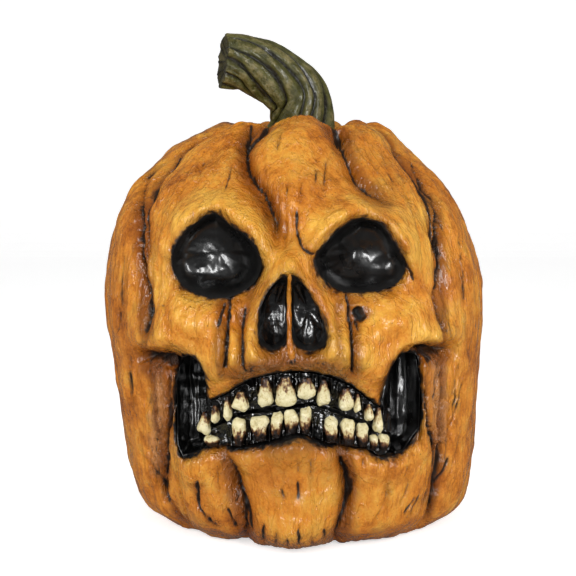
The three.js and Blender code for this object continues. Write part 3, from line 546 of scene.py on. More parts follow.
CARVINGS = (
    *lines(
        Cut.FOLD,
        (12, 5.0, 0.85, (-26, 270), (-28, 257), (-30, 247), (-30, 241), (-29, 235), (-25, 229),
         (-20, 224), (-16, 217), (-13, 209), (-11, 203), (-12, 197)),
        (13, 4.5, 0.7, (20, 268), (27, 255), (32, 242), (36, 233), (42, 225), (50, 219), (58, 215)),
        (8, 3.6, 0.6, (-86, 235), (-94, 227), (-98, 215), (-97, 200), (-96, 184), (-94, 170),
         (-90, 160), (-89, 152), (-90, 143), (-93, 133)),
        (8, 3.6, 0.55, (74, 240), (81, 227), (87, 215), (90, 205), (89, 190), (90, 178), (89, 166),
         (86, 158), (87, 149), (92, 137)),
        (5.5, 4.2, 0.5, (-38.5, 161), (-40, 148), (-40.5, 133), (-41, 118)),
        (5, 3.6, 0.3, (-28.6, 156), (-31.3, 141), (-30.8, 124), (-29, 116)),
        (4.5, 2.2, 0.2, (-47.5, 146), (-48, 130), (-50, 116)),
        (6, 4.4, 0.5, (31.2, 162), (32.4, 154), (33.6, 141), (34.2, 125), (35, 115)),
        (4.5, 2.6, 0.3, (24.7, 160), (25.1, 144), (26.3, 126)),
        (12, 8.0, 0.6, (-98, 112), (-91, 117), (-85, 119), (-78, 119.5), (-70, 116)),
        (9, 6.5, 0.6, (70, 128), (79, 126), (87, 124), (97, 121)),
        (8, 3.6, 0.6, (-77, 112), (-77.5, 102), (-78, 90), (-79, 76), (-80, 60), (-81, 43), (-83, 25)),
        (7, 3.0, 0.5, (79, 116), (80, 100), (81, 83), (86, 68), (87.4, 48), (84, 30), (80, 20)),
        (12, 5.5, 0.7, (-43, 66), (-39, 60), (-36, 48), (-32, 34), (-30, 8), (-29, 1)),
        (12, 5.5, 0.7, (25, 71), (29, 60), (32, 48), (32.5, 36), (30, 24), (26, 12), (26, 1)),
        (8, 3.0, 0.6, (92, 60), (90, 42), (88, 30), (84, 10)),
        (7, 2.6, 0.3, (-72, 58), (-73, 42), (-70, 22), (-66, 8)),
        (7, 2.0, 0.25, (58, 60), (57, 40), (56, 18)),
        (5, 2.6, 0.35, (-16.4, 182), (-22.3, 171), (-26, 161.6), (-28, 153)),
        (5, 2.4, 0.3, (16.4, 182), (22.3, 171), (25.3, 161.6)),
        (6, 3.2, 0.5, (86, 158), (88, 146), (95, 133)),
        (5, 2.4, 0.5, (41, 63), (42.6, 58)),
        (4, 2.0, 0.5, (-26, 124), (-26, 116)),
        (5, 2.0, 0.3, (-98, 51), (-92, 46), (-83, 30), (-80, 22)),
    ),
    *lines(
        Cut.CRACK,
        (0.8, 2.2, 1.0, (1.6, 212), (1.8, 199), (3.5, 192.6), (7.9, 188.5), (11.7, 186)),
        (0.9, 2.4, 1.0, (56, 183.6), (61, 182), (65, 180), (68.3, 176), (73, 168)),
        (1.0, 2.2, 0.9, (-45, 213), (-44.4, 209), (-42.3, 206.6)),
        (0.9, 2.6, 1.1, (-38.8, 162), (-39.8, 148), (-40.5, 133), (-41, 120)),
        (0.8, 2.0, 0.9, (-41.4, 157), (-44, 149.6), (-45.4, 143.5)),
        (0.7, 1.6, 0.8, (-29, 155), (-31.2, 141), (-30.6, 124), (-28.5, 117)),
        (0.8, 2.2, 1.0, (31, 163), (32.6, 153), (33.8, 141), (34.4, 125), (35, 116)),
        # The next row is a deep pit beside the right nostril; its black is painted shade in the hole.
        (2.5, 6.5, 2.6, (37.2, 154.8), (38.7, 150.8), (40.2, 146.8)),
        (1.1, 1.6, 0.9, (36.0, 148), (36.4, 144), (37.6, 140)),
        # The next three rows darken the hollows under the cheekbones: painted shade of their overhang.
        (2.0, 4.0, 1.5, (78.6, 127.6), (80.6, 123), (83, 117)),
        (3.2, 2.0, 0.62, (-97, 115.5), (-88, 118), (-79, 118), (-72, 114)),
        (3.0, 2.0, 0.55, (76, 123), (84, 123), (94, 120)),
        (0.9, 1.4, 0.8, (72, 128.5), (79, 127.6), (88, 125)),
        (1.3, 1.4, 0.5, (-79.2, 154), (-79.2, 152.4)),
        (1.3, 2.0, 0.8, (-97, 214), (-96, 190), (-94, 172), (-90.4, 160), (-89.3, 152), (-90, 143),
         (-92.7, 134)),
        (1.2, 2.0, 0.75, (89, 206), (89.5, 190), (90, 178), (88, 164)),
        (0.9, 2.0, 0.9, (-73.5, 104), (-74.2, 90), (-78.6, 76), (-80.6, 59), (-81.4, 42), (-81, 32)),
        (0.8, 1.6, 0.8, (80, 100), (81.6, 83), (86.6, 67.8), (87.6, 48)),
        (0.9, 2.0, 0.7, (-92, 47), (-83, 30), (-80.6, 22)),
        (1.0, 2.8, 1.1, (-59.3, 46), (-59.2, 36.7), (-58, 27), (-54.5, 20.7), (-48, 14)),
        (0.9, 1.4, 0.5, (-47.8, 55.6), (-46.2, 36)),
        (0.9, 1.2, 0.4, (-43, 64.4), (-42, 56)),
        (1.0, 2.2, 0.9, (-39.5, 61), (-36, 49), (-31.7, 36), (-28.3, 23)),
        (1.0, 2.0, 0.8, (-42.2, 28), (-39, 20), (-36.4, 12)),
        (1.0, 2.0, 0.8, (-28.3, 25), (-26, 13)),
        (1.0, 2.2, 0.9, (28, 62), (32.4, 50), (33.4, 37), (31, 26)),
        (1.0, 1.8, 0.9, (35, 47), (34.2, 38), (31.8, 29)),
        (0.9, 1.6, 0.7, (-19.2, 21), (-19.4, 6)),
        (0.8, 1.4, 0.6, (-7.7, 46), (-5.4, 38)),
        (0.9, 1.6, 0.9, (2, 51), (2, 38)),
        (0.8, 1.0, 0.4, (1.4, 66), (2, 54)),
        (0.8, 1.0, 0.4, (10.5, 68), (9.4, 52)),
        (0.9, 1.6, 0.8, (2.4, 23), (2.4, 8)),
        (0.9, 1.5, 0.7, (18, 19), (18.6, 8)),
        (0.9, 1.4, 0.6, (-4.2, 16), (-4.3, 4)),
        (0.8, 1.2, 0.5, (-11, 18), (-12, 4)),
        (0.8, 1.2, 0.5, (10, 16), (11, 4)),
        (0.8, 1.3, 0.6, (76.3, 31.5), (71.5, 26.8), (66.5, 21)),
        (0.8, 1.3, 0.6, (80, 36), (74.7, 26), (69, 18)),
        (0.8, 1.2, 0.4, (69.3, 55), (70, 40), (64.4, 27)),
        (0.8, 1.2, 0.5, (84, 30), (80, 20)),
        (0.8, 1.2, 0.4, (58, 40), (52, 26), (47, 17)),
        (0.8, 1.3, 0.6, (109, 99.5), (104, 86), (99, 72)),
        (0.8, 1.3, 0.6, (98, 52), (93, 41.6), (88.8, 33.6)),
        (0.9, 1.2, 0.4, (107, 70), (103, 52), (97, 36)),
        (1.2, 2.0, 0.35, (-11, 208), (-11, 190)),
        (1.0, 2.0, 0.4, (-5, 207), (-6, 190)),
        (1.1, 1.8, 0.3, (-1, 214), (-2, 193)),
        (1.1, 1.4, 0.3, (8, 214), (6, 200)),
        (1.0, 1.5, 0.4, (-9, 230), (-10, 212)),
        (1.0, 1.5, 0.4, (-4, 232), (-5, 210)),
        (0.9, 1.2, 0.35, (3, 228), (4, 214)),
        (1.3, 1.2, 0.2, (-20, 247), (-18, 229)),
        (1.1, 1.4, 0.5, (20, 241), (17, 220)),
        (0.9, 1.0, 0.5, (14, 236), (12, 224)),
        (0.8, 1.2, 0.5, (-9, 256), (-10, 246)),
        (0.9, 1.4, 0.55, (-38, 240), (-42, 222)),
        (1.2, 1.2, 0.2, (-60, 158), (-58, 138)),
        (1.2, 1.1, 0.35, (-56, 243), (-60, 224)),
        (1.1, 1.0, 0.3, (-47, 247), (-50, 230)),
        (1.1, 1.0, 0.35, (-66, 236), (-72, 214)),
        (1.2, 1.1, 0.35, (56, 243), (63, 222)),
        (1.1, 1.0, 0.3, (66, 235), (74, 205)),
        (1.1, 1.0, 0.25, (46, 246), (52, 232)),
        (1.1, 1.0, 0.25, (-82, 205), (-84, 176)),
        (1.2, 1.4, 0.5, (-108, 180), (-111, 130)),
        (1.2, 1.4, 0.5, (-104, 120), (-103, 80)),
        (1.2, 1.4, 0.5, (104, 190), (108, 150)),
        (1.1, 1.2, 0.5, (104, 112), (101, 80)),
        (0.8, 1.0, 0.3, (77, 195), (79, 172)),
    ),
    *lines(
        Cut.RIDGE,
        (1.7, 1.5, 0, (-6, 178.4), (-13.1, 167.7), (-18.5, 157.6), (-22.4, 147), (-22, 138),
         (-17.7, 130.5), (-11.8, 127.6)),
        (1.7, 1.5, 0, (1.2, 178.4), (8.7, 171.3), (14.6, 164), (18.6, 154), (20.6, 143), (18, 132),
         (11.2, 127)),
        (2.4, 1.8, 0, (-2.9, 189), (-9.4, 182), (-14.7, 174), (-22, 162)),
        (2.4, 1.8, 0, (1.2, 189), (9.4, 179.6), (16.4, 171), (20.8, 161)),
        (2.2, 1.8, 0, (-2.3, 131.5), (-0.8, 127), (-0.2, 121)),
        (2.2, 1.6, 0, (-35, 157), (-35.8, 143), (-37, 120)),
        (1.8, 1.2, 0, (-25.9, 152), (-26.6, 138), (-24.8, 128)),
        (2.0, 1.6, 0, (-43.6, 142), (-43.6, 128), (-44.3, 112)),
        (1.8, 1.2, 0, (22.2, 157), (22.4, 144), (24.2, 128)),
        (2.0, 1.4, 0, (28, 160), (28.4, 144), (29.4, 124)),
        (2.6, 2.2, 0, (-97, 121), (-92, 124), (-87, 126.5), (-79.5, 127.5), (-72, 125)),
        (2.6, 2.2, 0, (68, 131), (74, 132.6), (83, 131.6), (93, 127.6)),
        (1.6, 1.8, 0, (-74.2, 113), (-74.4, 99), (-73.6, 77), (-72.4, 64)),
        (1.6, 1.8, 0, (78.8, 118), (79.2, 104), (78.6, 83), (77.6, 67)),
        (2.2, 1.6, 0, (75, 163), (84, 151), (93, 139)),
        (1.0, 0.8, 0, (-78.7, 199), (-82, 186), (-80.9, 171)),
        (1.0, 0.8, 0, (-82, 201), (-85.4, 186), (-83.6, 166)),
        (0.9, 0.6, 0, (-75.5, 197), (-77.8, 183), (-76.5, 168)),
        (0.9, 0.8, 0, (-72.4, 46), (-72.7, 34)),
        (0.9, 0.8, 0, (-63.2, 51), (-63.1, 42)),
        (0.9, 0.8, 0, (-53.6, 63), (-53.7, 53)),
        (0.9, 0.7, 0, (-105, 108), (-108, 84)),
        (0.9, 0.7, 0, (-100, 100), (-102, 76)),
        (1.1, 0.8, 0, (-8, 216), (-8, 196)),
        (1.1, 0.8, 0, (4.5, 216), (3, 200)),
        (1.6, 1.0, 0, (-66, 150), (-65, 138)),
        (1.6, 1.0, 0, (-58, 147), (-54, 128)),
        (2.4, 1.2, 0, (52, 151), (58, 146)),
        (2.4, 1.2, 0, (66, 150), (62, 142)),
        (2.0, 1.6, 0, (-33, 124), (-32, 112)),
        (2.4, 1.6, 0, (-17, 126), (-18, 113)),
        (2.6, 1.6, 0, (-6, 122), (-6, 113)),
        (2.4, 1.6, 0, (7, 122), (7, 113)),
        (2.2, 1.6, 0, (17, 126), (17, 112)),
        (2.2, 1.6, 0, (28, 118), (30, 106)),
        (1.8, 1.2, 0, (-24, 136), (-23, 126)),
        (1.8, 1.2, 0, (16, 128), (22, 122)),
        (2.0, 1.0, 0, (-70, 142), (-71, 134)),
        (2.4, 1.0, 0, (56, 158), (64, 154)),
        (2.0, 1.1, 0, (47, 146), (51, 134)),
    ),
)

# Soft brown patches that darken creases, the hollows under the cheekbones, the upper lip, the chin, the
# crown's top and the foot: painted shade, with some brown wash.
SHADES = shades(
    (6.5, 0.7, (-30, 250), (-31, 236), (-24, 226), (-14, 207)),
    (7.5, 0.65, (27, 256), (34, 238), (44, 224), (54, 217)),
    (5.5, 0.75, (-97, 205), (-93, 165), (-91, 138)),
    (5.0, 0.35, (92, 215), (91, 180), (89, 150)),
    (4.5, 0.95, (-93, 116), (-76, 118)),
    (6.5, 0.8, (-92, 111), (-76, 113)),
    (5.5, 0.8, (75, 122), (94, 118)),
    (5.0, 0.25, (-80, 104), (-82, 60), (-83, 35)),
    (6.0, 0.15, (88, 112), (90, 80), (88, 45)),
    (30.0, 0.2, (0, 40), (0, 10)),
    (13.0, 0.22, (-14, 258), (16, 258)),
    (12.0, 0.26, (42, 250), (62, 232)),
    (6.5, 0.85, (-36, 116), (-22, 122), (-2, 124), (20, 122), (30, 116)),
    (6.0, 0.5, (-16, 128), (12, 128)),
    (4.0, 0.75, (-43.5, 156), (-45, 136), (-43, 116)),
    (3.5, 0.6, (-31, 150), (-31, 118)),
    (4.0, 0.65, (35, 156), (36, 134), (37, 116)),
    (3.5, 0.5, (25.5, 156), (26, 122)),
    (4.0, 0.5, (-26, 166), (-29, 152)),
    (4.0, 0.4, (24, 168), (27, 156)),
    (8.0, 0.55, (-12, 73), (10, 73)),
    (16.0, 0.3, (-20, 62), (20, 62)),
    (7.0, 0.65, (-42, 62), (-36, 44), (-31, 14)),
    (6.5, 0.65, (30, 62), (33, 42), (29, 12)),
    (4.0, 0.6, (-14, 212), (-9, 199)),
    (6.0, 0.25, (-14, 190), (10, 190)),
    (5.0, 0.35, (-56, 42), (-52, 18)),
    (6.0, 0.25, (0, 236), (12, 222)),
    (7.0, 0.45, (-70, 8), (0, 4), (60, 8)),
)

# Lighter, yellower patches on the brows, temples, forehead and cheeks: painted highlight.
HIGHLIGHT_PATCHES = shades(
    (11.0, 0.55, (-84, 208), (-88, 176)),
    (11.0, 0.75, (82, 208), (86, 172)),
    (9.0, 0.55, (16, 204), (40, 216), (66, 204)),
    (9.0, 0.4, (-18, 204), (-45, 219), (-70, 206)),
    (12.0, 0.3, (-4, 252), (0, 230)),
    (10.0, 0.4, (48, 148), (70, 146)),
    (9.0, 0.4, (100, 120), (102, 90)),
)

BARK = shades(
    (6.5, 1.0, (-84, 112), (-84, 88), (-87, 66), (-89, 42)),
    (7.0, 1.0, (88, 116), (90, 93), (92, 66)),
    (6.0, 0.55, (-43, 60), (-38, 41), (-33, 16)),
    (5.0, 0.55, (31, 66), (34, 44), (30, 18)),
    (4.0, 0.5, (-90, 117), (-76, 118)),
    (5.5, 0.6, (-24, 121), (0, 124), (22, 121)),
)


@dataclass(frozen=True)
class BodyForm:
    """The outer form: a profile turned round an axis, dipped into grooves, with a face in relief.

    Attributes:
        width: the width at the ribs' crests, in millimetres like all the sizes here.
        depth: the depth there, without the face's relief.
        height: the height without the stem.
        centre_rib_lift: how much higher the crown's front rib stands.
        groove_depth: how deep the grooves between the ribs are at most.
        rib_count: how many ribs there are.
        floor_gap: how far the shell stands off the floor.
        lower_shift: how far the foot is shifted to the right.
        upper_shift: how far the shoulders are shifted to the left.
        stem_shift: how far the crown is shifted to the right.
        crest_index: which point of the profile is the crown's highest.
        profile_shares: the profile, as shares of the half width and of the height.
        openings: the holes of the face.
        lumps, dents, bark, wrinkles, patches, rind: seeded noise for the skin's small forms.
    """

    width: float = BODY_WIDTH
    depth: float = BODY_DEPTH
    height: float = BODY_HEIGHT
    centre_rib_lift: float = 6.0
    groove_depth: float = 8.0
    rib_count: int = 11
    floor_gap: float = 0.8
    lower_shift: float = 6.0
    upper_shift: float = 3.0
    stem_shift: float = 4.0
    crest_index: int = 16
    profile_shares: tuple[Point, ...] = (
        (0.4, 0), (0.68, 0), (0.77, 0.014), (0.865, 0.052), (0.912, 0.113), (0.933, 0.19),
        (0.953, 0.29), (0.976, 0.4), (0.992, 0.515), (0.988, 0.605), (0.948, 0.705), (0.882, 0.793),
        (0.78, 0.86), (0.66, 0.912), (0.55, 0.958), (0.46, 0.986), (0.39, 1), (0.31, 0.99),
        (0.25, 0.963), (0.2, 0.948), (0.1, 0.948),
    )
    openings: tuple[Opening, ...] = (EYE_LEFT, EYE_RIGHT, NOSE_LEFT, NOSE_RIGHT, MOUTH)
    lumps: Grain = Grain(11, (34.0, 34.0, 46.0), 2)
    dents: Grain = Grain(12, (10.0, 10.0, 16.0), 3)
    bark: Grain = Grain(16, (10.0, 10.0, 80.0), 2)
    wrinkles: Grain = Grain(13, (4.2, 4.2, 46.0), 2)
    patches: Grain = Grain(14, (30.0, 30.0, 30.0), 2)
    rind: Grain = Grain(17, (5.0, 5.0, 20.0), 3)

    @property
    def ratio(self) -> float:
        """Depth over width."""
        return self.depth / self.width

    @property
    def crest_share(self) -> float:
        """The profile share of the crown's highest ring."""
        return self.crest_index / (len(self.profile_shares) - 1)

    @cached_property
    def outlines(self) -> tuple[Array, ...]:
        """The openings' outlines."""
        return tuple(opening.outline(120) for opening in self.openings)

    def profile(self, share: Array) -> tuple[Array, Array, Array, Array]:
        """Follows a uniform Catmull-Rom curve through the profile's points.

        Args:
            share: places along the profile, from 0 to 1.

        Returns:
            The radius, the height, and the unit tangent's radial and upright parts.
        """
        reach = (self.width / 2, self.height - self.floor_gap)
        points = np.array(self.profile_shares) * reach + (0, self.floor_gap)
        last = len(points) - 1
        place = np.asarray(share) * last
        index = np.clip(np.floor(place).astype(int), 0, last - 1)
        t = (place - index)[..., None]
        p0, p1 = points[np.maximum(index - 1, 0)], points[index]
        p2, p3 = points[index + 1], points[np.minimum(index + 2, last)]
        v0, v1 = (p2 - p0) / 2, (p3 - p1) / 2
        a, b = 2 * p1 - 2 * p2 + v0 + v1, -3 * p1 + 3 * p2 - 2 * v0 - v1
        at = ((a * t + b) * t + v0) * t + p1
        slope = (3 * a * t + 2 * b) * t + v0
        slope /= np.maximum(np.linalg.norm(slope, axis=-1, keepdims=True), 1e-9)
        return at[..., 0], at[..., 1], slope[..., 0], slope[..., 1]

    def axis_shift(self, height: Array | float) -> Array:
        """Shifts the body's middle sideways: right below, left above and right at the crown.

        Args:
            height: places up.

        Returns:
            The shift at each place.
        """
        share = np.asarray(height) / self.height
        crown = smoothstep(share, 0.93, 1.0)
        low = self.lower_shift * np.clip(1 - share / 0.56, 0, 1)
        high = self.upper_shift * smoothstep(share, 0.56, 0.8) * (1 - crown)
        return low - high + self.stem_shift * crown

    def crest_radius(self, height: Array | float) -> Array:
        """Reads the ribs' crest radius off the profile.

        Args:
            height: places up the belly.

        Returns:
            The radius at each place.
        """
        share = np.linspace(2 / (len(self.profile_shares) - 1), self.crest_share, 600)
        radius, level, _, _ = self.profile(share)
        return np.interp(height, level, radius)

    def relief(self, x: Array, z: Array) -> Array:
        """The sum of the face's strokes."""
        return sum((stroke.at(x, z) for stroke in STROKES + FINE_STROKES), np.zeros(np.shape(x)))

    def face_depth(self, x: Array, z: Array) -> Array:
        """Finds the face's y: the crest circle's depth with the relief on it.

        Args:
            x: places across.
            z: places up.

        Returns:
            The y at each place.
        """
        radius = self.crest_radius(z)
        across = np.clip(x - self.axis_shift(z), -0.98 * radius, 0.98 * radius)
        return -self.ratio * np.sqrt(radius**2 - across**2) - self.relief(x, z)

    def rib_angle(self, azimuth: Array, spread: Array) -> Array:
        """Solves angle + spread * sin(angle) = azimuth by Newton's steps, so a column keeps its azimuth.

        Args:
            azimuth: places round the axis.
            spread: how far the front ribs fan out.

        Returns:
            The angle that the ribs are counted by.
        """
        turn = 2 * np.pi * np.round(azimuth / (2 * np.pi))
        rest = azimuth - turn
        angle = rest / (1 + spread)
        for _ in range(12):
            step = (angle + spread * np.sin(angle) - rest) / np.maximum(1 + spread * np.cos(angle), 0.2)
            angle = angle - np.clip(step, -0.6, 0.6)
        return angle

    def skin(self, azimuth: Array, share: Array, fine: bool = True) -> Skin:
        """Places the skin: the crest radius less the groove's dip along the normal, and the face's relief.

        Args:
            azimuth: places round the axis, 0 in front and growing to the right.
            share: places along the profile.
            fine: whether carvings, wrinkles and lumps are added.

        Returns:
            The points and the paint's fields.
        """
        at_radius, at_height, slope_r, slope_h = self.profile(share)
        level = at_height / self.height
        spread = 0.52 * np.clip((level - 0.56) / 0.4, 0, 1) ** 2.5
        angle = self.rib_angle(azimuth, spread)
        crest = self.crest_share
        ridge = np.abs(np.cos(self.rib_count / 2 * angle))
        near_face = 1 - smoothstep(np.abs(angle), 0.52, 0.64)
        face_band = smoothstep(level, 0.17, 0.3) * (1 - smoothstep(level, 0.81, 0.88))
        fade = smoothstep(share, 0.05, 0.14) * (1 - smoothstep(share, crest, 0.93))
        strength = lerp(0.75, 1.2, smoothstep(level, 0.6, 0.95))
        dip = self.groove_depth * strength * fade * (1 - np.sqrt(ridge)) * (1 - near_face * face_band)
        dip = np.minimum(dip, self.groove_depth)
        if fine:
            turned = np.abs(azimuth - 2 * np.pi * np.round(azimuth / (2 * np.pi)))
            folded = smoothstep(turned, 0.75, 0.55)
            dip = dip * (1 - folded * (1 - smoothstep(at_height, 236, 256)) * (share < crest))
        lift = self.centre_rib_lift * np.exp(-((angle / 0.3) ** 2)) * smoothstep(share, 0.6, crest)
        lift = lift * (1 - smoothstep(share, crest, 0.9))
        radius = at_radius - dip * slope_h
        height = at_height + dip * slope_r + lift
        shift = self.axis_shift(np.where(share > crest, self.height, at_height))
        x = shift + radius * np.sin(azimuth)
        y = -self.ratio * radius * np.cos(azimuth)
        frontness = smoothstep(np.cos(azimuth), 0.12, 0.4) * smoothstep(share, 0.02, 0.1)
        frontness = frontness * (1 - smoothstep(share, 0.72, crest))
        relief = self.relief(x, height) * frontness
        points = np.stack([x, y - relief, height], axis=-1)
        normal = np.stack([slope_h * np.sin(azimuth), -slope_h * np.cos(azimuth), -slope_r], axis=-1)
        fields = {name: np.zeros_like(x) for name in ("crack", "wash", "bare", "glow")}
        fields |= {"dip": dip, "swell": relief / 12.0}
        if fine:
            rise = self.fine_rise(points, azimuth, frontness, fields)
            points = points + normal * rise[..., None]
        # In the rib grooves: brown darkening, and a black line in the deepest part: brown wash and painted
        # shade.
        fields["wash"] = np.clip(fields["wash"] + 0.85 * smoothstep(dip, 1.5, 7.0), 0, 1.3)
        fields["crack"] = fields["crack"] + 0.9 * smoothstep(dip, 5.2, 7.6)
        fields["crown"] = smoothstep(share, 0.74, 0.98)
        points[..., 2] = np.maximum(points[..., 2], 0.3)
        return Skin(points, fields)

    def fine_rise(
        self, points: Array, azimuth: Array, frontness: Array, fields: dict[str, Array]
    ) -> Array:
        """Adds up the small relief along the normal: lumps, dents, long wrinkles and carved lines.

        Wrinkles are the noise's zero lines, stretched along the ribs: depth times (1 - |noise|) to a
        power.

        Args:
            points: the skin without it.
            azimuth: places round the axis.
            frontness: how far each place belongs to the face, from 0 to 1.
            fields: the paint's fields, to which stains are added.

        Returns:
            The rise in millimetres.
        """
        x, height = points[..., 0], points[..., 2]
        ribbed = np.stack([110.0 * np.sin(azimuth), 110.0 * np.cos(azimuth), height], axis=-1)
        patch = smoothstep(self.patches.at(points), -0.35, 0.45)
        rough = smoothstep(fields["dip"], 1.0, 5.0)
        side = smoothstep(np.abs(np.sin(azimuth)), 0.5, 0.8)
        bark = np.clip(1 - 2.4 * np.abs(self.bark.at(ribbed)), 0, 1) ** 2 * (0.35 + 0.65 * side)
        line = np.clip(1 - 2.6 * np.abs(self.wrinkles.at(ribbed)), 0, 1) ** 2 * patch
        rise = 0.8 * self.lumps.at(points) + 0.85 * self.dents.at(points) * (1 + rough)
        rise = rise - (0.55 + 0.6 * rough) * line - bark
        # Black lines and brown in the wrinkle and bark valleys: partly black paint, partly painted shade.
        fields["crack"] = fields["crack"] + 0.3 * line * (0.5 + rough) + 0.34 * bark**2
        fields["wash"] = fields["wash"] + 0.22 * bark
        face = frontness > 0.02
        fx, fz = x[face], height[face]
        cut, crack, wash = np.zeros_like(fx), np.zeros_like(fx), np.zeros_like(fx)
        faced = points[face]
        wander = 0.55 * Grain(21, (7.0, 7.0, 7.0), 2).at(faced)
        wander = wander + 0.3 * Grain(23, (2.6, 2.6, 3.4), 2).at(faced)
        rind = np.clip(1 - 2.0 * np.abs(self.rind.at(faced)), 0, 1) ** 1.2
        broken = 1.0 + 0.3 * Grain(22, (5.0, 5.0, 8.0), 2).at(faced)
        for carving in CARVINGS:
            depth, black, brown = carving.work(fx + wander, fz + wander)
            cut = cut + depth
            crack = np.maximum(crack, black)
            wash = 1 - (1 - wash) * (1 - brown)
        # The soft shade patches add painted shade to the brown darkening.
        for shade in SHADES:
            wash = 1 - (1 - wash) * (1 - shade.at(fx, fz))
        bare = np.clip(sum(shade.at(fx + 3 * wander, fz) for shade in BARK), 0, 1)
        # The lighter patches: painted highlight.
        fields["glow"][face] = sum(shade.at(fx, fz) for shade in HIGHLIGHT_PATCHES)
        # Black in the bark patches' valleys: partly painted shade.
        cut, crack = cut + bare * (3.2 * rind - 1.0), np.maximum(crack, 0.8 * bare * rind**3.5)
        fields["bare"][face] = bare
        rise[face] -= cut * np.sqrt(frontness[face])
        fields["crack"][face] += crack * broken
        fields["wash"][face] += wash
        return rise


# Meshes


@dataclass
class Surface:
    """Points, faces and fields of a piece, gathered before they go into a mesh.

    Attributes:
        points: (n, 3) places in millimetres.
        faces: arrays of triangles and of quads.
        fields: values at the points, by name.
        polygon: one face of many corners.
        edge: which points lie on an edge that is shaded sharp.
    """

    points: Array
    faces: list[Array]
    fields: dict[str, Array] = field(default_factory=dict)
    polygon: list[int] | None = None
    edge: Array | None = None

    def piece(self, name: str, material: bpy.types.Material, node: str, slot: str) -> bpy.types.Object:
        """Makes the object, rides it on the body and lets it stand for its solid.

        Args:
            name: the object's name.
            material: its finish.
            node: the solid it replaces.
            slot: a material slot name; not used.

        Returns:
            The object.
        """
        groups = [np.asarray(group, np.int32) for group in self.faces if len(group)]
        corners = [group.ravel() for group in groups] + [np.array(self.polygon or [], np.int32)]
        loops = np.concatenate(corners)
        sizes = np.concatenate(
            [np.full(len(group), group.shape[1], np.int32) for group in groups]
            + [np.array([len(self.polygon)] if self.polygon else [], np.int32)]
        )
        starts = np.concatenate([[0], np.cumsum(sizes)[:-1]]).astype(np.int32)
        mesh = bpy.data.meshes.new(name)
        mesh.vertices.add(len(self.points))
        mesh.vertices.foreach_set("co", (self.points * MM).astype(np.float32).ravel())
        mesh.loops.add(len(loops))
        mesh.loops.foreach_set("vertex_index", loops)
        mesh.polygons.add(len(sizes))
        mesh.polygons.foreach_set("loop_start", starts)
        mesh.polygons.foreach_set("use_smooth", np.ones(len(sizes), bool))
        mesh.update(calc_edges=True)
        mesh.validate()
        if self.edge is not None:
            ends = np.zeros(2 * len(mesh.edges), np.int32)
            mesh.edges.foreach_get("vertices", ends)
            mesh.edges.foreach_set("use_edge_sharp", self.edge[ends.reshape(-1, 2)].all(axis=1))
        for label, values in self.fields.items():
            layer = mesh.attributes.new(label, "FLOAT", "POINT")
            layer.data.foreach_set("value", np.asarray(values, np.float32).ravel())
        mesh.materials.append(material)
        made = bpy.data.objects.new(name, mesh)
        bpy.context.scene.collection.objects.link(made)
        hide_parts(node)
        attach(made, "root")
        return made


def grid_faces(rows: int, columns: int, wrapped: bool = False, offset: int = 0) -> Array:
    """Lists the quads of a grid of points, row by row.

    Args:
        rows: number of rows.
        columns: number of columns.
        wrapped: whether the last column joins the first.
        offset: index of the grid's first point.

    Returns:
        An (n, 4) array; with columns running right and rows running up, the quads face the viewer.
    """
    i, j = np.meshgrid(np.arange(rows - 1), np.arange(columns if wrapped else columns - 1), indexing="ij")
    k = (j + 1) % columns
    low, high = i * columns, (i + 1) * columns
    quads = np.stack([low + j, low + k, high + k, high + j], axis=-1)
    return quads.reshape(-1, 4) + offset


def tube(rings: Array, fields: dict[str, Array]) -> Surface:
    """Closes a stack of rings with a point in the middle of the first and of the last ring.

    Args:
        rings: an (r, n, 3) array of rings, anticlockwise as seen from the last ring.
        fields: values for each ring point, of shape (r, n).

    Returns:
        The closed surface.
    """
    count, size, _ = rings.shape
    middles = [rings[0].mean(axis=0)[None], rings[-1].mean(axis=0)[None]]
    points = np.concatenate([rings.reshape(-1, 3), *middles])
    start, end = count * size, count * size + 1
    j = np.arange(size)
    k = (j + 1) % size
    first = np.stack([np.full(size, start), k, j], axis=1)
    last = np.stack([np.full(size, end), (count - 1) * size + j, (count - 1) * size + k], axis=1)
    made = {}
    for label, values in fields.items():
        made[label] = np.concatenate([values.ravel(), [values[0].mean(), values[-1].mean()]])
    return Surface(points, [grid_faces(count, size, True), first, last], made)


def slab(near: Array, far: Array) -> Surface:
    """Closes a slab between two sheets of equal rows and columns; the near sheet faces -Y.

    Args:
        near: an (r, c, 3) array, rows running up and columns right.
        far: the sheet behind it.

    Returns:
        The closed surface.
    """
    rows, columns, _ = near.shape
    offset = rows * columns
    index = np.arange(offset).reshape(rows, columns)
    rim = np.concatenate([index[0, :], index[1:, -1], index[-1, -2::-1], index[-2:0:-1, 0]])
    beyond = np.roll(rim, -1)
    walls = np.stack([rim, rim + offset, beyond + offset, beyond], axis=1)
    points = np.concatenate([near.reshape(-1, 3), far.reshape(-1, 3)])
    back = grid_faces(rows, columns, offset=offset)[:, ::-1]
    return Surface(points, [grid_faces(rows, columns), back, walls])


# Shader building


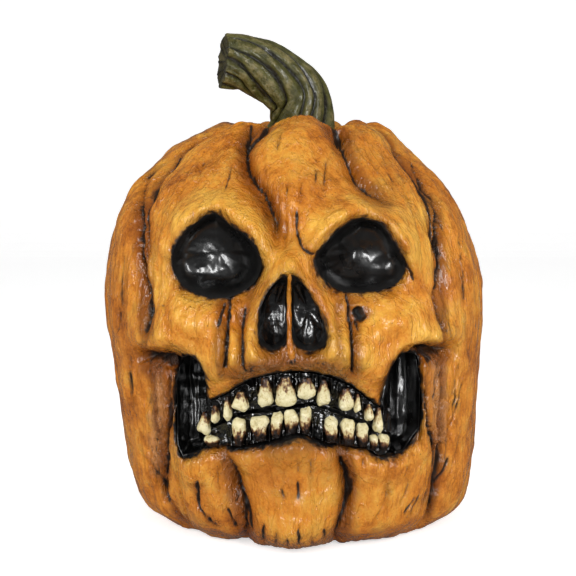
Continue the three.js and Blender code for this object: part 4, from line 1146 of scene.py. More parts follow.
class Wire:
    """A shader value under Python's operators; each operator adds one Math node."""

    def __init__(self, weave: Weave, socket: Any) -> None:
        """Wraps a socket of a tree."""
        self.weave = weave
        self.socket = socket

    def __add__(self, other: Any) -> Wire:
        """Sum."""
        return self.weave.math("ADD", self, other)

    def __sub__(self, other: Any) -> Wire:
        """Difference."""
        return self.weave.math("SUBTRACT", self, other)

    def __rsub__(self, other: Any) -> Wire:
        """Difference from a number."""
        return self.weave.math("SUBTRACT", other, self)

    def __mul__(self, other: Any) -> Wire:
        """Product."""
        return self.weave.math("MULTIPLY", self, other)

    def __abs__(self) -> Wire:
        """Size without sign."""
        return self.weave.math("ABSOLUTE", self)

    def rise(self, low: float, high: float) -> Wire:
        """Gives a smooth rise from 0 at low to 1 at high; with low above high it falls instead.

        Args:
            low: where it starts.
            high: where it ends.

        Returns:
            The share.
        """
        if low > high:
            return 1 - self.rise(high, low)
        made = self.weave.node(
            "ShaderNodeMapRange",
            {"interpolation_type": "SMOOTHSTEP"},
            {0: self, 1: low, 2: high, 3: 0.0, 4: 1.0},
        )
        return Wire(self.weave, made.outputs[0])


class Weave:
    """Builds one material's nodes."""

    def __init__(self, name: str, tree: Any = None) -> None:
        """Starts an empty material, or works on a given tree instead.

        Args:
            name: the material's name.
            tree: the tree to clear and fill.
        """
        self.tree = tree
        if tree is None:
            self.material = bpy.data.materials.new(name)
            self.material.use_nodes = True
            self.tree = self.material.node_tree
        self.tree.nodes.clear()
        if tree is None:
            self.place = self.node("ShaderNodeTexCoord").outputs["Object"]

    def node(
        self, kind: str, settings: dict[str, Any] | None = None, inputs: dict[Any, Any] | None = None
    ) -> Any:
        """Adds a node.

        Args:
            kind: the node's type name.
            settings: its properties, set first; "stops" fills a colour ramp.
            inputs: values, wires or sockets, by socket name or number.

        Returns:
            The node.
        """
        made = self.tree.nodes.new(kind)
        for label, value in (settings or {}).items():
            if label == "stops":
                elements = made.color_ramp.elements
                while len(elements) < len(value):
                    elements.new(0.5)
                for element, (position, colour) in zip(elements, value):
                    element.position = position
                    element.color = colour
            else:
                setattr(made, label, value)
        for label, value in (inputs or {}).items():
            source = value.socket if isinstance(value, Wire) else value
            if isinstance(source, bpy.types.NodeSocket):
                self.tree.links.new(source, made.inputs[label])
            else:
                made.inputs[label].default_value = source
        return made

    def math(self, operation: str, *values: Any) -> Wire:
        """One Math node on one or two values."""
        made = self.node("ShaderNodeMath", {"operation": operation}, dict(enumerate(values)))
        return Wire(self, made.outputs[0])

    def field(self, name: str) -> Wire:
        """A field that the mesh carries."""
        made = self.node("ShaderNodeAttribute", {"attribute_name": name})
        return Wire(self, made.outputs["Fac"])

    def noise(
        self, scale: float, detail: float = 3.0, roughness: float = 0.55, stretch: float = 1.0
    ) -> Wire:
        """Noise on the object's own coordinates.

        Args:
            scale: waves per metre across.
            detail: how many finer layers there are.
            roughness: how strong the finer layers are.
            stretch: the scale along Z as a share of the scale across.

        Returns:
            A value around 0.5.
        """
        place = self.place
        if stretch != 1.0:
            mapped = self.node("ShaderNodeMapping", {}, {"Vector": place, "Scale": (1.0, 1.0, stretch)})
            place = mapped.outputs[0]
        made = self.node(
            "ShaderNodeTexNoise",
            {},
            {"Vector": place, "Scale": scale, "Detail": detail, "Roughness": roughness},
        )
        return Wire(self, made.outputs[0])

    def cells(self, scale: float) -> Wire:
        """Distance to scattered points, for pores and flecks."""
        made = self.node("ShaderNodeTexVoronoi", {"feature": "F1"}, {"Vector": self.place, "Scale": scale})
        return Wire(self, made.outputs["Distance"])

    def ramp(self, value: Wire, *stops: tuple[float, str]) -> Any:
        """Colours along a value; the stops are positions with hex words."""
        tints = [(position, (*tint(code), 1.0)) for position, code in stops]
        return self.node("ShaderNodeValToRGB", {"stops": tints}, {0: value}).outputs[0]

    def blend(self, share: Any, under: Any, over: Any) -> Any:
        """Mixes two colours.

        Args:
            share: how much of the second shows.
            under: the first, a socket or a hex word.
            over: the second.

        Returns:
            The colour socket.
        """
        colours = [(*tint(c), 1.0) if isinstance(c, str) else c for c in (under, over)]
        made = self.node(
            "ShaderNodeMix",
            {"data_type": "RGBA", "blend_type": "MIX", "clamp_factor": True},
            {0: share, 6: colours[0], 7: colours[1]},
        )
        return made.outputs[2]

    def bump(self, height: Wire, distance: float) -> Any:
        """Bends the normal by a height; distance is the height of 1 in metres."""
        inputs = {"Strength": 1.0, "Distance": distance, "Height": height}
        return self.node("ShaderNodeBump", {}, inputs).outputs[0]

    def finish(self, **sockets: Any) -> bpy.types.Material:
        """Ends in a Principled shader.

        Args:
            sockets: the shader's inputs by name, with _ for spaces.

        Returns:
            The material.
        """
        inputs = {label.replace("_", " "): value for label, value in sockets.items()}
        shader = self.node("ShaderNodeBsdfPrincipled", {}, inputs)
        self.node("ShaderNodeOutputMaterial", {}, {0: shader.outputs[0]})
        return self.material


def tint(code: str) -> tuple[float, float, float]:
    """Turns a hex word into the linear colour that Blender takes."""
    parts = [int(code[i : i + 2], 16) / 255 for i in (0, 2, 4)]
    return tuple(p / 12.92 if p <= 0.04045 else ((p + 0.055) / 1.055) ** 2.4 for p in parts)


@dataclass(frozen=True)
class OrangePaint:
    """Mottled, varnished orange paint, browned by wash and painted shade in the grooves, black round the
    openings.

    Attributes:
        name: the material's name.
        varnish: the varnish's weight.
        varnish_roughness: how rough the varnish is.
        sheen_roughness: how rough the paint under it is.
    """

    name: str = "orange_paint"
    varnish: float = 0.25
    varnish_roughness: float = 0.12
    sheen_roughness: float = 0.22

    def material(self) -> bpy.types.Material:
        """Builds the finish from the skin's fields.

        Returns:
            The material.
        """
        w = Weave(self.name)
        rim, wash, crack = w.field("rim"), w.field("wash"), w.field("crack")
        swell, crown, bare = w.field("swell"), w.field("crown"), w.field("bare")
        broad = w.noise(23, 3, 0.5)
        mottle = w.noise(85, 4, 0.62)
        streak = w.noise(230, 3, 0.6, 0.09)
        fine = w.noise(700, 2, 0.7)
        tone = (broad - 0.5) * 1.15 + (mottle - 0.5) * 1.3 + (streak - 0.5) * 0.4 + (fine - 0.5) * 0.6
        # Raised relief (swell) and the highlight patches turn the tone lighter and yellower: painted
        # highlight.
        body = w.ramp(
            tone + swell * 0.15 + w.field("glow") * 0.5 + 0.42,
            (0.0, "83450f"), (0.25, "b06617"), (0.48, "c97e24"), (0.72, "d49433"), (1.0, "e0a840"),
        )
        # A greyer pinkish tan towards the crown and in random patches: partly faded paint, partly painted
        # sheen from above.
        faded_and_sheen = (w.noise(38, 3, 0.6) - 0.5) * 1.5 + crown * 0.9
        body = w.blend(faded_and_sheen.rise(0.25, 0.95) * 0.74, body, "9f6e46")
        # Paler tan where the paint is worn on the bare bark patches.
        paler_share = (bare + (mottle - 0.5) * 0.8 + (streak - 0.5) * 0.6).rise(0.25, 0.85)
        body = w.blend(paler_share * 0.8, body, "b57b46")
        strips = w.noise(300, 3, 0.62, 0.06).rise(0.6, 0.7) * 0.35
        body = w.blend(strips, body, "743a10")
        # Brown where the wash field is high: partly a brown wash, partly painted shade in grooves, creases
        # and hollows.
        brown_wash_and_shade = (wash + (mottle - 0.5) * 0.9 * wash.rise(0.0, 0.4) + (streak - 0.5) * 0.35).rise(0.12, 1.0)
        body = w.blend(brown_wash_and_shade * 0.82, body, "733807")
        grit = w.noise(330, 3, 0.65, 0.5)
        # Near-black in the cracks, creases and deepest grooves: black paint lines and painted shade.
        deep = (crack * 1.1 + wash * 0.2 + (grit - 0.5) * 0.6 + (mottle - 0.5) * 0.3).rise(0.38, 0.86)
        body = w.blend(deep * 0.95, body, "100a05")
        # Blacker still where the crack field is strongest, as in the pit beside the right nostril: painted
        # shade.
        pit_shade = crack.rise(1.2, 1.6)
        body = w.blend(pit_shade, body, "050303")
        dust = (crown + wash * 0.5 + (mottle - 0.5) * 0.9).rise(1.0, 1.5)
        body = w.blend(dust * 0.7, body, "4d4b38")
        pores = (w.cells(240) + (w.noise(60) - 0.5) * 0.25).rise(0.1, 0.05) * 0.6
        body = w.blend(pores, body, "3c2410")
        halo = (rim + (mottle - 0.5) * 8.0).rise(8.0, 0.0)
        body = w.blend(halo * 0.5, body, "5c300e")
        lobes = w.noise(170, 2, 0.5)
        edge = (rim + (mottle - 0.5) * 2.4 + (grit - 0.5) * 3.0 + (lobes - 0.5) * 4.5).rise(2.6, 0.2)
        body = w.blend(edge, body, "040303")
        fibre = w.noise(240, 3, 0.62, 0.14)
        crease = abs(w.noise(95, 3, 0.6, 0.35) - 0.5).rise(0.035, 0.0)
        streaky = w.noise(32, 2, 0.5).rise(0.44, 0.62)
        wavy = w.noise(140, 2, 0.45, 0.6)
        relief = fibre * (streaky * 1.2 + 0.3) + wavy * 1.3 + mottle * 0.8 + fine * 0.1
        relief = relief + crease * 0.2 + bare * grit * 2.2
        normal = w.bump(relief, 0.002)
        rough = (mottle - 0.5) * 0.35 + edge * 0.25 + deep * 0.2 + self.sheen_roughness
        return w.finish(
            Base_Color=body, Roughness=rough + pit_shade * 0.4, Normal=normal,
            Coat_Weight=(1 - pit_shade) * self.varnish, Coat_Roughness=self.varnish_roughness,
            Specular_IOR_Level=0.75,
        )


@dataclass(frozen=True)
class BlackGloss:
    """Thick glossy black paint with brush lumps and dust specks.

    Attributes:
        name: the material's name.
        lump_scale: the brush lumps' waves per metre.
        lump_height: how high they stand, in metres.
        speckle: how strong the finer lumps are.
        softness: the paint's mean roughness.
    """

    name: str
    lump_scale: float
    lump_height: float
    speckle: float
    softness: float

    def material(self) -> bpy.types.Material:
        """Builds the finish.

        Returns:
            The material.
        """
        w = Weave(self.name)
        cloud = w.noise(60, 3, 0.6)
        body = w.blend(cloud.rise(0.45, 0.7), "030303", "0b0a09")
        dust = w.cells(420).rise(0.11, 0.05) * w.noise(90).rise(0.5, 0.62)
        body = w.blend(dust * 0.5, body, "55534e")
        lumps = w.noise(self.lump_scale, 2, 0.4) + w.noise(520, 2, 0.5) * self.speckle
        normal = w.bump(lumps, self.lump_height)
        rim = w.field("rim").rise(0.85, 1.0)
        rough = (cloud - 0.5) * 0.2 + dust * 0.3 + rim * 0.4 + self.softness
        return w.finish(
            Base_Color=body, Roughness=rough, Normal=normal, Coat_Weight=0.5 - rim * 0.5,
            Coat_Roughness=0.1, Specular_IOR_Level=0.8,
        )


@dataclass(frozen=True)
class ToothPaint:
    """Cream paint on the crowns, stained brown and black towards the roots.

    Attributes:
        name: the material's name.
    """

    name: str = "tooth_paint"

    def material(self) -> bpy.types.Material:
        """Builds the finish; the field "root" runs from 0 at the tip to 1 at the gum.

        Returns:
            The material.
        """
        w = Weave(self.name)
        root = w.field("root")
        mottle = w.noise(300, 4, 0.65)
        drips = w.noise(520, 3, 0.6, 0.35)
        fine = w.noise(1500, 3, 0.6)
        body = w.ramp(
            (mottle - 0.5) * 2.0 + 0.5,
            (0.0, "b09a62"), (0.35, "d2c696"), (0.7, "e2d9b0"), (1.0, "f0e9cf"),
        )
        edge = root + (mottle - 0.5) * 0.9 + (drips - 0.5) * 0.8
        body = w.blend(edge.rise(0.42, 0.54) * 0.75, body, "a27b3c")
        body = w.blend(edge.rise(0.52, 0.62) * 0.92, body, "55270c")
        body = w.blend(edge.rise(0.62, 0.8), body, "120905")
        nicks = (w.cells(560) + (mottle - 0.5) * 0.2).rise(0.17, 0.08) * 0.7
        body = w.blend(nicks, body, "6a4a24")
        normal = w.bump(mottle + fine * 0.3, 0.0014)
        return w.finish(
            Base_Color=body, Roughness=(mottle - 0.5) * 0.4 + 0.3, Normal=normal, Coat_Weight=0.15,
            Coat_Roughness=0.16, Specular_IOR_Level=0.5,
        )


@dataclass(frozen=True)
class StemPaint:
    """Olive-green stem paint: painted shadow between ridges, paler crests of wear and painted highlight.

    Attributes:
        name: the material's name.
    """

    name: str = "stem_paint"

    def material(self) -> bpy.types.Material:
        """Builds the finish; "furrow" is 1 between ridges, "cut" is 1 on the cut end.

        Returns:
            The material.
        """
        w = Weave(self.name)
        furrow, cut = w.field("furrow"), w.field("cut")
        mottle = w.noise(150, 4, 0.6)
        fine = w.noise(900, 3, 0.6)
        body = w.ramp(
            (mottle - 0.5) * 1.7 + 0.5,
            (0.0, "24240b"), (0.4, "424118"), (0.7, "575423"), (1.0, "747044"),
        )
        # Paler beige on the crests: rubbed wear and painted highlight.
        paler_share = (1 - furrow + (fine - 0.5) * 1.2 + (mottle - 0.5) * 1.6).rise(0.8, 1.35) * 0.5
        body = w.blend(paler_share, body, "8b7c58")
        shadow = (furrow + (mottle - 0.5) * 0.8 + (fine - 0.5) * 0.4).rise(0.3, 0.78)
        body = w.blend(shadow * 0.95, body, "0f0b06")
        pith = (cut + (mottle - 0.5) * 0.5).rise(0.4, 0.9)
        body = w.blend(pith * 0.6, body, "221b0e")
        normal = w.bump(fine * 0.4 + mottle * 1.3, 0.0018)
        return w.finish(
            Base_Color=body, Roughness=(mottle - 0.5) * 0.4 + 0.36, Normal=normal, Coat_Weight=0.4,
            Coat_Roughness=0.14, Specular_IOR_Level=0.5,
        )


@dataclass(frozen=True)
class DarkCasting:
    """Bare dark casting, matte and slightly pitted, with pale scuffs.

    Attributes:
        name: the material's name.
    """

    name: str = "dark_casting"

    def material(self) -> bpy.types.Material:
        """Builds the finish.

        Returns:
            The material.
        """
        w = Weave(self.name)
        cloud, fine = w.noise(45, 4, 0.6), w.noise(800, 3, 0.6)
        body = w.ramp((cloud - 0.5) * 1.4 + 0.5, (0.0, "1f1c19"), (0.5, "332e29"), (1.0, "4a443c"))
        body = w.blend((fine + (cloud - 0.5)).rise(0.66, 0.85) * 0.4, body, "6b645a")
        normal = w.bump(fine + w.cells(330) * 0.5, 0.0008)
        return w.finish(Base_Color=body, Roughness=(cloud - 0.5) * 0.3 + 0.75, Normal=normal)


# The sub-assemblies


def spaced(*stretches: tuple[float, float, int]) -> Array:
    """Joins stretches of evenly spaced values; each is a start, an end and a number of steps."""
    parts = [np.linspace(start, end, count, endpoint=False) for start, end, count in stretches]
    return np.concatenate([*parts, [stretches[-1][1]]])


@dataclass
class Body:
    """The two halves of the pumpkin, the disc that closes it and the strips and collar inside.

    Attributes:
        form: the outer form.
        pit_depth: how far the skin turns in at an opening, past the back of what is let in there.
        parting: half the gap between the halves.
        septum_path: the strip between the nose cups, in the front view.
        paint: the halves' finish.
        casting: the hidden solids' finish.
    """

    form: BodyForm = field(default_factory=BodyForm)
    pit_depth: float = 42.0
    parting: float = 0.02
    septum_path: tuple[Point, ...] = (
        (-1.4, 124.5), (-2.2, 129), (-3.0, 134.5), (-3.2, 142), (-3.3, 155), (-3.3, 168), (-3.0, 177),
    )
    paint: OrangePaint = field(default_factory=OrangePaint)
    casting: DarkCasting = field(default_factory=DarkCasting)

    def build(self) -> None:
        """Makes both halves and finishes the hidden solids."""
        paint = self.paint.material()
        for side in Side:
            surface = self.half(side)
            made = surface.piece(f"{side.value}_half", paint, f"{side.value}_shell", "orange_paint")
            log.info("%s: %d faces", made.name, len(made.data.polygons))
        self.septum().piece("nose_septum", paint, "front_shell", "orange_paint")
        casting = self.casting.material()
        for node in ("base_disc", "seam_strip_left", "seam_strip_right", "stem_ring"):
            dress(node, casting)

    def half(self, side: Side) -> Surface:
        """Lays one half's skin on a grid of azimuth and profile share and closes it over the joint.

        Args:
            side: front or rear.

        Returns:
            The closed surface.
        """
        if side is Side.FRONT:
            columns = np.radians(spaced((-90, -58, 24), (-58, 58, 282), (58, 90, 24)))
            rows = spaced(
                (0, 0.18, 14), (0.18, 0.26, 18), (0.26, 0.53, 176), (0.53, 0.75, 46), (0.75, 1, 34)
            )
        else:
            columns = np.radians(spaced((90, 270, 210)))
            rows = spaced((0, 0.2, 16), (0.2, 0.75, 110), (0.75, 1, 34))
        azimuth, share = np.broadcast_arrays(columns[None, :], rows[:, None])
        if side is Side.FRONT:
            return self.closed(*self.opened(azimuth.copy(), share.copy()))
        skin = self.form.skin(azimuth, share)
        skin.fields["rim"] = np.full(azimuth.shape, NO_RIM)
        return self.closed(skin, np.zeros(azimuth.shape, bool))

    def septum(self) -> Surface:
        """Stacks rings up the strip between the nose cups, with a knob at its foot and sunk ends.

        Returns:
            The closed surface, with the skin's fields.
        """
        path = spline(np.array(self.septum_path), False, 12 * (len(self.septum_path) - 1))
        level = np.linspace(0, 1, len(path))
        radius = np.interp(level, (0, 0.1, 0.17, 0.25, 0.4, 0.9, 1), (1.2, 1.9, 2.6, 1.7, 1.45, 1.2, 0.7))
        sink = 0.3 + 2.6 * (1 - smoothstep(level, 0, 0.08)) + 2.0 * smoothstep(level, 0.93, 1)
        turn = np.linspace(0, 2 * np.pi, 28, endpoint=False)
        depth = self.form.face_depth(*path.T) + sink
        rings = np.stack(
            [
                path[:, :1] + radius[:, None] * np.cos(turn),
                depth[:, None] + radius[:, None] * np.sin(turn),
                np.broadcast_to(path[:, 1:], (len(path), len(turn))),
            ],
            axis=-1,
        )
        rings[..., :2] += 0.28 * Grain(24, (2.4, 2.4, 5.0), 2).at(rings)[..., None]
        blank = np.zeros(rings.shape[:2])
        painted = {"rim": blank + NO_RIM, "wash": blank + 0.42}
        return tube(rings, {name: blank for name in PAINT_FIELDS} | painted)

    def rim_distance(self, x: Array, z: Array) -> tuple[Array, Array, Array, Array]:
        """Finds the nearest opening and how far the lips roll in.

        A lip falls by its depth times b^2.2, b falling from 1 at the edge to 0 at the lip's width.

        Args:
            x: places across.
            z: places up.

        Returns:
            The signed distance, the nearest point's x and z, and the roll.
        """
        best, lip = np.full(x.shape, NO_RIM), np.zeros(x.shape)
        near_x, near_z = np.array(x), np.array(z)
        for opening, outline in zip(self.form.openings, self.form.outlines):
            distance, at_x, at_z = nearest_on(outline, x, z, RIM_REACH)
            width, depth = opening.lip
            bend = np.clip(1 - distance / width, 0, 1)
            lip = np.maximum(lip, depth * bend**2.2)
            better = distance < best
            best = np.where(better, distance, best)
            near_x, near_z = np.where(better, at_x, near_x), np.where(better, at_z, near_z)
        return best, near_x, near_z, lip

    def opened(self, azimuth: Array, share: Array) -> tuple[Skin, Array]:
        """Moves grid points on to the openings' outlines, rolls the lips in and sinks the insides.

        A grid point goes to the outline by solving the two equations that its neighbours' differences
        give for the change in azimuth and in profile share.

        Args:
            azimuth: the grid's azimuths.
            share: the grid's profile shares.

        Returns:
            The skin with its pits, and which points lie on an outline.
        """
        form = self.form
        front = np.cos(azimuth) > 0.2
        snap = np.zeros(azimuth.shape, bool)
        for attempt in range(3):
            points = form.skin(azimuth, share, fine=False).points
            x, z = points[..., 0], points[..., 2]
            distance, near_x, near_z, _ = self.rim_distance(np.where(front, x, OUT_OF_VIEW), z)
            if attempt == 0:
                for a, b in ((np.s_[:-1, :], np.s_[1:, :]), (np.s_[:, :-1], np.s_[:, 1:])):
                    crosses = (distance[a] < 0) != (distance[b] < 0)
                    first = np.abs(distance[a]) <= np.abs(distance[b])
                    snap[a] |= crosses & first
                    snap[b] |= crosses & ~first
            dx_row, dx_column = np.gradient(x)
            dz_row, dz_column = np.gradient(z)
            scale = dx_column * dz_row - dx_row * dz_column
            gap_x, gap_z = near_x - x, near_z - z
            by_column = (gap_x * dz_row - gap_z * dx_row) / scale
            by_row = (gap_z * dx_column - gap_x * dz_column) / scale
            by_column, by_row = np.clip(by_column, -0.8, 0.8), np.clip(by_row, -0.8, 0.8)
            azimuth = azimuth + np.where(snap, by_column * np.gradient(azimuth, axis=1), 0.0)
            share = share + np.where(snap, by_row * np.gradient(share, axis=0), 0.0)
        skin = form.skin(azimuth, share)
        points = skin.points
        across = np.where(front, points[..., 0], OUT_OF_VIEW)
        distance, _, _, lip = self.rim_distance(across, points[..., 2])
        inside = (distance < 0) & ~snap
        distance = np.where(snap, 0.0, distance)
        points[..., 1] += np.where(inside, self.pit_depth, lip)
        skin.fields["rim"] = distance
        return skin, snap

    def closed(self, skin: Skin, snap: Array) -> Surface:
        """Splits the grid's quads along the openings' outlines and closes the half over the joint.

        Args:
            skin: the half's skin.
            snap: the points that lie on an outline.

        Returns:
            The closed surface.
        """
        rows, columns, _ = skin.points.shape
        points = skin.points.copy()
        behind = 1.0 if points[rows // 2, columns // 2, 1] > 0 else -1.0
        for column in (0, -1):
            points[:, column, 1] = behind * self.parting
        quads = grid_faces(rows, columns)
        on = snap.ravel()
        a, b, c, d = quads.T
        other = on[b] & on[d] & ~(on[a] & on[c])
        faces = np.where(
            other[:, None],
            np.stack([a, b, d, b, c, d], axis=1),
            np.stack([a, b, c, a, c, d], axis=1),
        ).reshape(-1, 3)
        middle = points[0].mean(axis=0), points[-1].mean(axis=0)
        caps = np.array([[m[0], behind * self.parting, m[2]] for m in middle])
        count = rows * columns
        j = np.arange(columns - 1)
        bottom = np.stack([np.full(columns - 1, count), j + 1, j], axis=1)
        last = count - columns + j
        top = np.stack([np.full(columns - 1, count + 1), last, last + 1], axis=1)
        index = np.arange(count).reshape(rows, columns)
        polygon = [*index[:, 0], count + 1, *index[::-1, -1], count]
        at_caps = dict.fromkeys(PAINT_FIELDS, 0.0) | {"rim": NO_RIM}
        fields = {name: np.append(skin.fields[name], [cap] * 2) for name, cap in at_caps.items()}
        joint = np.zeros(snap.shape, bool)
        joint[:, [0, -1]] = True
        edge = np.concatenate([(snap | joint).ravel(), [True, True]])
        places = np.concatenate([points.reshape(-1, 3), caps])
        return Surface(places, [faces, bottom, top], fields, polygon, edge)


@dataclass
class Sockets:
    """The glossy black bowls of the eyes and the cups of the nose.

    Attributes:
        form: the body's form.
        wall: a bowl's thickness.
        embed: how far a bowl's edge lies inside the outline; below zero it is let into the skin.
        rings: how many rings a bowl has from its middle to its rim.
        sides: how many points a ring has.
    """

    form: BodyForm
    wall: float = 2.0
    embed: float = -0.25
    rings: int = 64
    sides: int = 180

    def build(self) -> None:
        """Makes the four bowls."""
        eye_gloss = BlackGloss("eye_gloss", 42.0, 0.0014, 0.05, 0.28).material()
        nose_gloss = BlackGloss("nose_gloss", 150.0, 0.0017, 0.1, 0.22).material()
        for node, opening, gloss, lump in (
            ("eye_socket_left", EYE_LEFT, eye_gloss, 1.1),
            ("eye_socket_right", EYE_RIGHT, eye_gloss, 1.1),
            ("nose_cup_left", NOSE_LEFT, nose_gloss, 0.8),
            ("nose_cup_right", NOSE_RIGHT, nose_gloss, 0.8),
        ):
            name = node.replace("socket", "bowl").replace("cup", "bowl")
            self.bowl(opening, lump).piece(name, gloss, node, "black_gloss")
            log.info("%s", node)

    def bowl(self, opening: Opening, lump: float) -> Surface:
        """Sinks a bowl into an opening: the outline shrinks to an oval and its middle as it gets deeper.

        The depth follows 1 - 0.36 cone - 0.64 level^6, level being 0 in the middle and 1 at the rim, and
        the cone being rounded in the middle.

        Args:
            opening: the hole that it fills.
            lump: the height of the paint's lumps in millimetres.

        Returns:
            The closed surface, a sheet outside and a sheet inside that meet at the rim.
        """
        outline = opening.outline(self.sides)
        middle, size = np.array(opening.centre), np.array(opening.size)
        level = np.sin(np.linspace(0.03, 1.0, self.rings) * np.pi / 2)[:, None]
        back = opening.lip[1] - 0.5
        cone = (np.sqrt(level**2 + 0.02) - 0.02**0.5) / (1.02**0.5 - 0.02**0.5)
        fall = 1 - 0.36 * cone - 0.64 * level**6

        def sheet(inward: float, depth: float) -> Array:
            """Lays one sheet of the bowl.

            Args:
                inward: how far its edge lies inside the outline.
                depth: how far its middle lies behind the rim.

            Returns:
                Its rings, from the middle to the rim.
            """
            arm = inset(outline, inward) - middle
            turn = np.arctan2(arm[:, 1] / size[1], arm[:, 0] / size[0])
            oval = 0.5 * size * np.stack([np.cos(turn), np.sin(turn)], axis=1)
            plan = middle + lerp(oval, arm, level[..., None] ** 2) * level[..., None]
            rim = self.form.face_depth(*(middle + arm).T)
            front = lerp(rim.mean(), rim[None], level**2) + back
            return np.stack([plan[..., 0], front + depth * fall, plan[..., 1]], axis=-1)

        outer = sheet(self.embed - 0.2, opening.depth)
        inner = sheet(self.embed, opening.depth - self.wall)
        coarse = Grain(31, (18.0, 18.0, 13.0), 2).at(inner)
        coarse = coarse + 0.12 * Grain(32, (4.0, 4.0, 4.0), 2).at(inner)
        inner[..., 1] -= lump * coarse * (1 - level**6)
        rim = np.concatenate([level, level[::-1]]) * np.ones(self.sides)
        return tube(np.concatenate([outer, inner[::-1]]), {"rim": rim})


@dataclass(frozen=True)
class Tooth:
    """One tooth, in shares of the mouth's width and height.

    Attributes:
        middle: the middle across.
        width: the width.
        root: the height of the root.
        tip: the height of the tip.
        lean: the lean in degrees, clockwise as seen.
    """

    middle: float
    width: float
    root: float
    tip: float
    lean: float


UPPER_TEETH = tuple(
    Tooth(*row)
    for row in (
        (-0.382, 0.05, -0.06, -0.255, 8),
        (-0.338, 0.03, 0.012, -0.149, 0),
        (-0.286, 0.029, 0.122, -0.117, 0),
        (-0.234, 0.068, 0.225, -0.018, 3),
        (-0.134, 0.06, 0.299, 0.029, 0),
        (-0.053, 0.083, 0.302, 0.035, 0),
        (0.032, 0.078, 0.294, 0.101, 0),
        (0.101, 0.054, 0.275, 0.044, 0),
        (0.191, 0.06, 0.215, -0.01, -5),
        (0.237, 0.025, 0.146, -0.032, 0),
        (0.285, 0.034, 0.095, -0.12, -6),
        (0.323, 0.035, 0.015, -0.231, 0),
    )
)
LOWER_TEETH = tuple(
    Tooth(*row)
    for row in (
        (-0.355, 0.057, -0.389, -0.268, 0),
        (-0.241, 0.053, -0.345, -0.09, 0),
        (-0.157, 0.067, -0.32, -0.059, 0),
        (-0.088, 0.047, -0.309, -0.017, 3),
        (-0.03, 0.056, -0.243, 0.003, 0),
        (0.028, 0.046, -0.224, 0.025, 0),
        (0.132, 0.059, -0.297, -0.062, 0),
        (0.201, 0.056, -0.36, -0.093, -3),
        (0.259, 0.047, -0.359, -0.135, -4),
        (0.304, 0.032, -0.381, -0.25, 0),
        (0.347, 0.044, -0.395, -0.25, 0),
    )
)


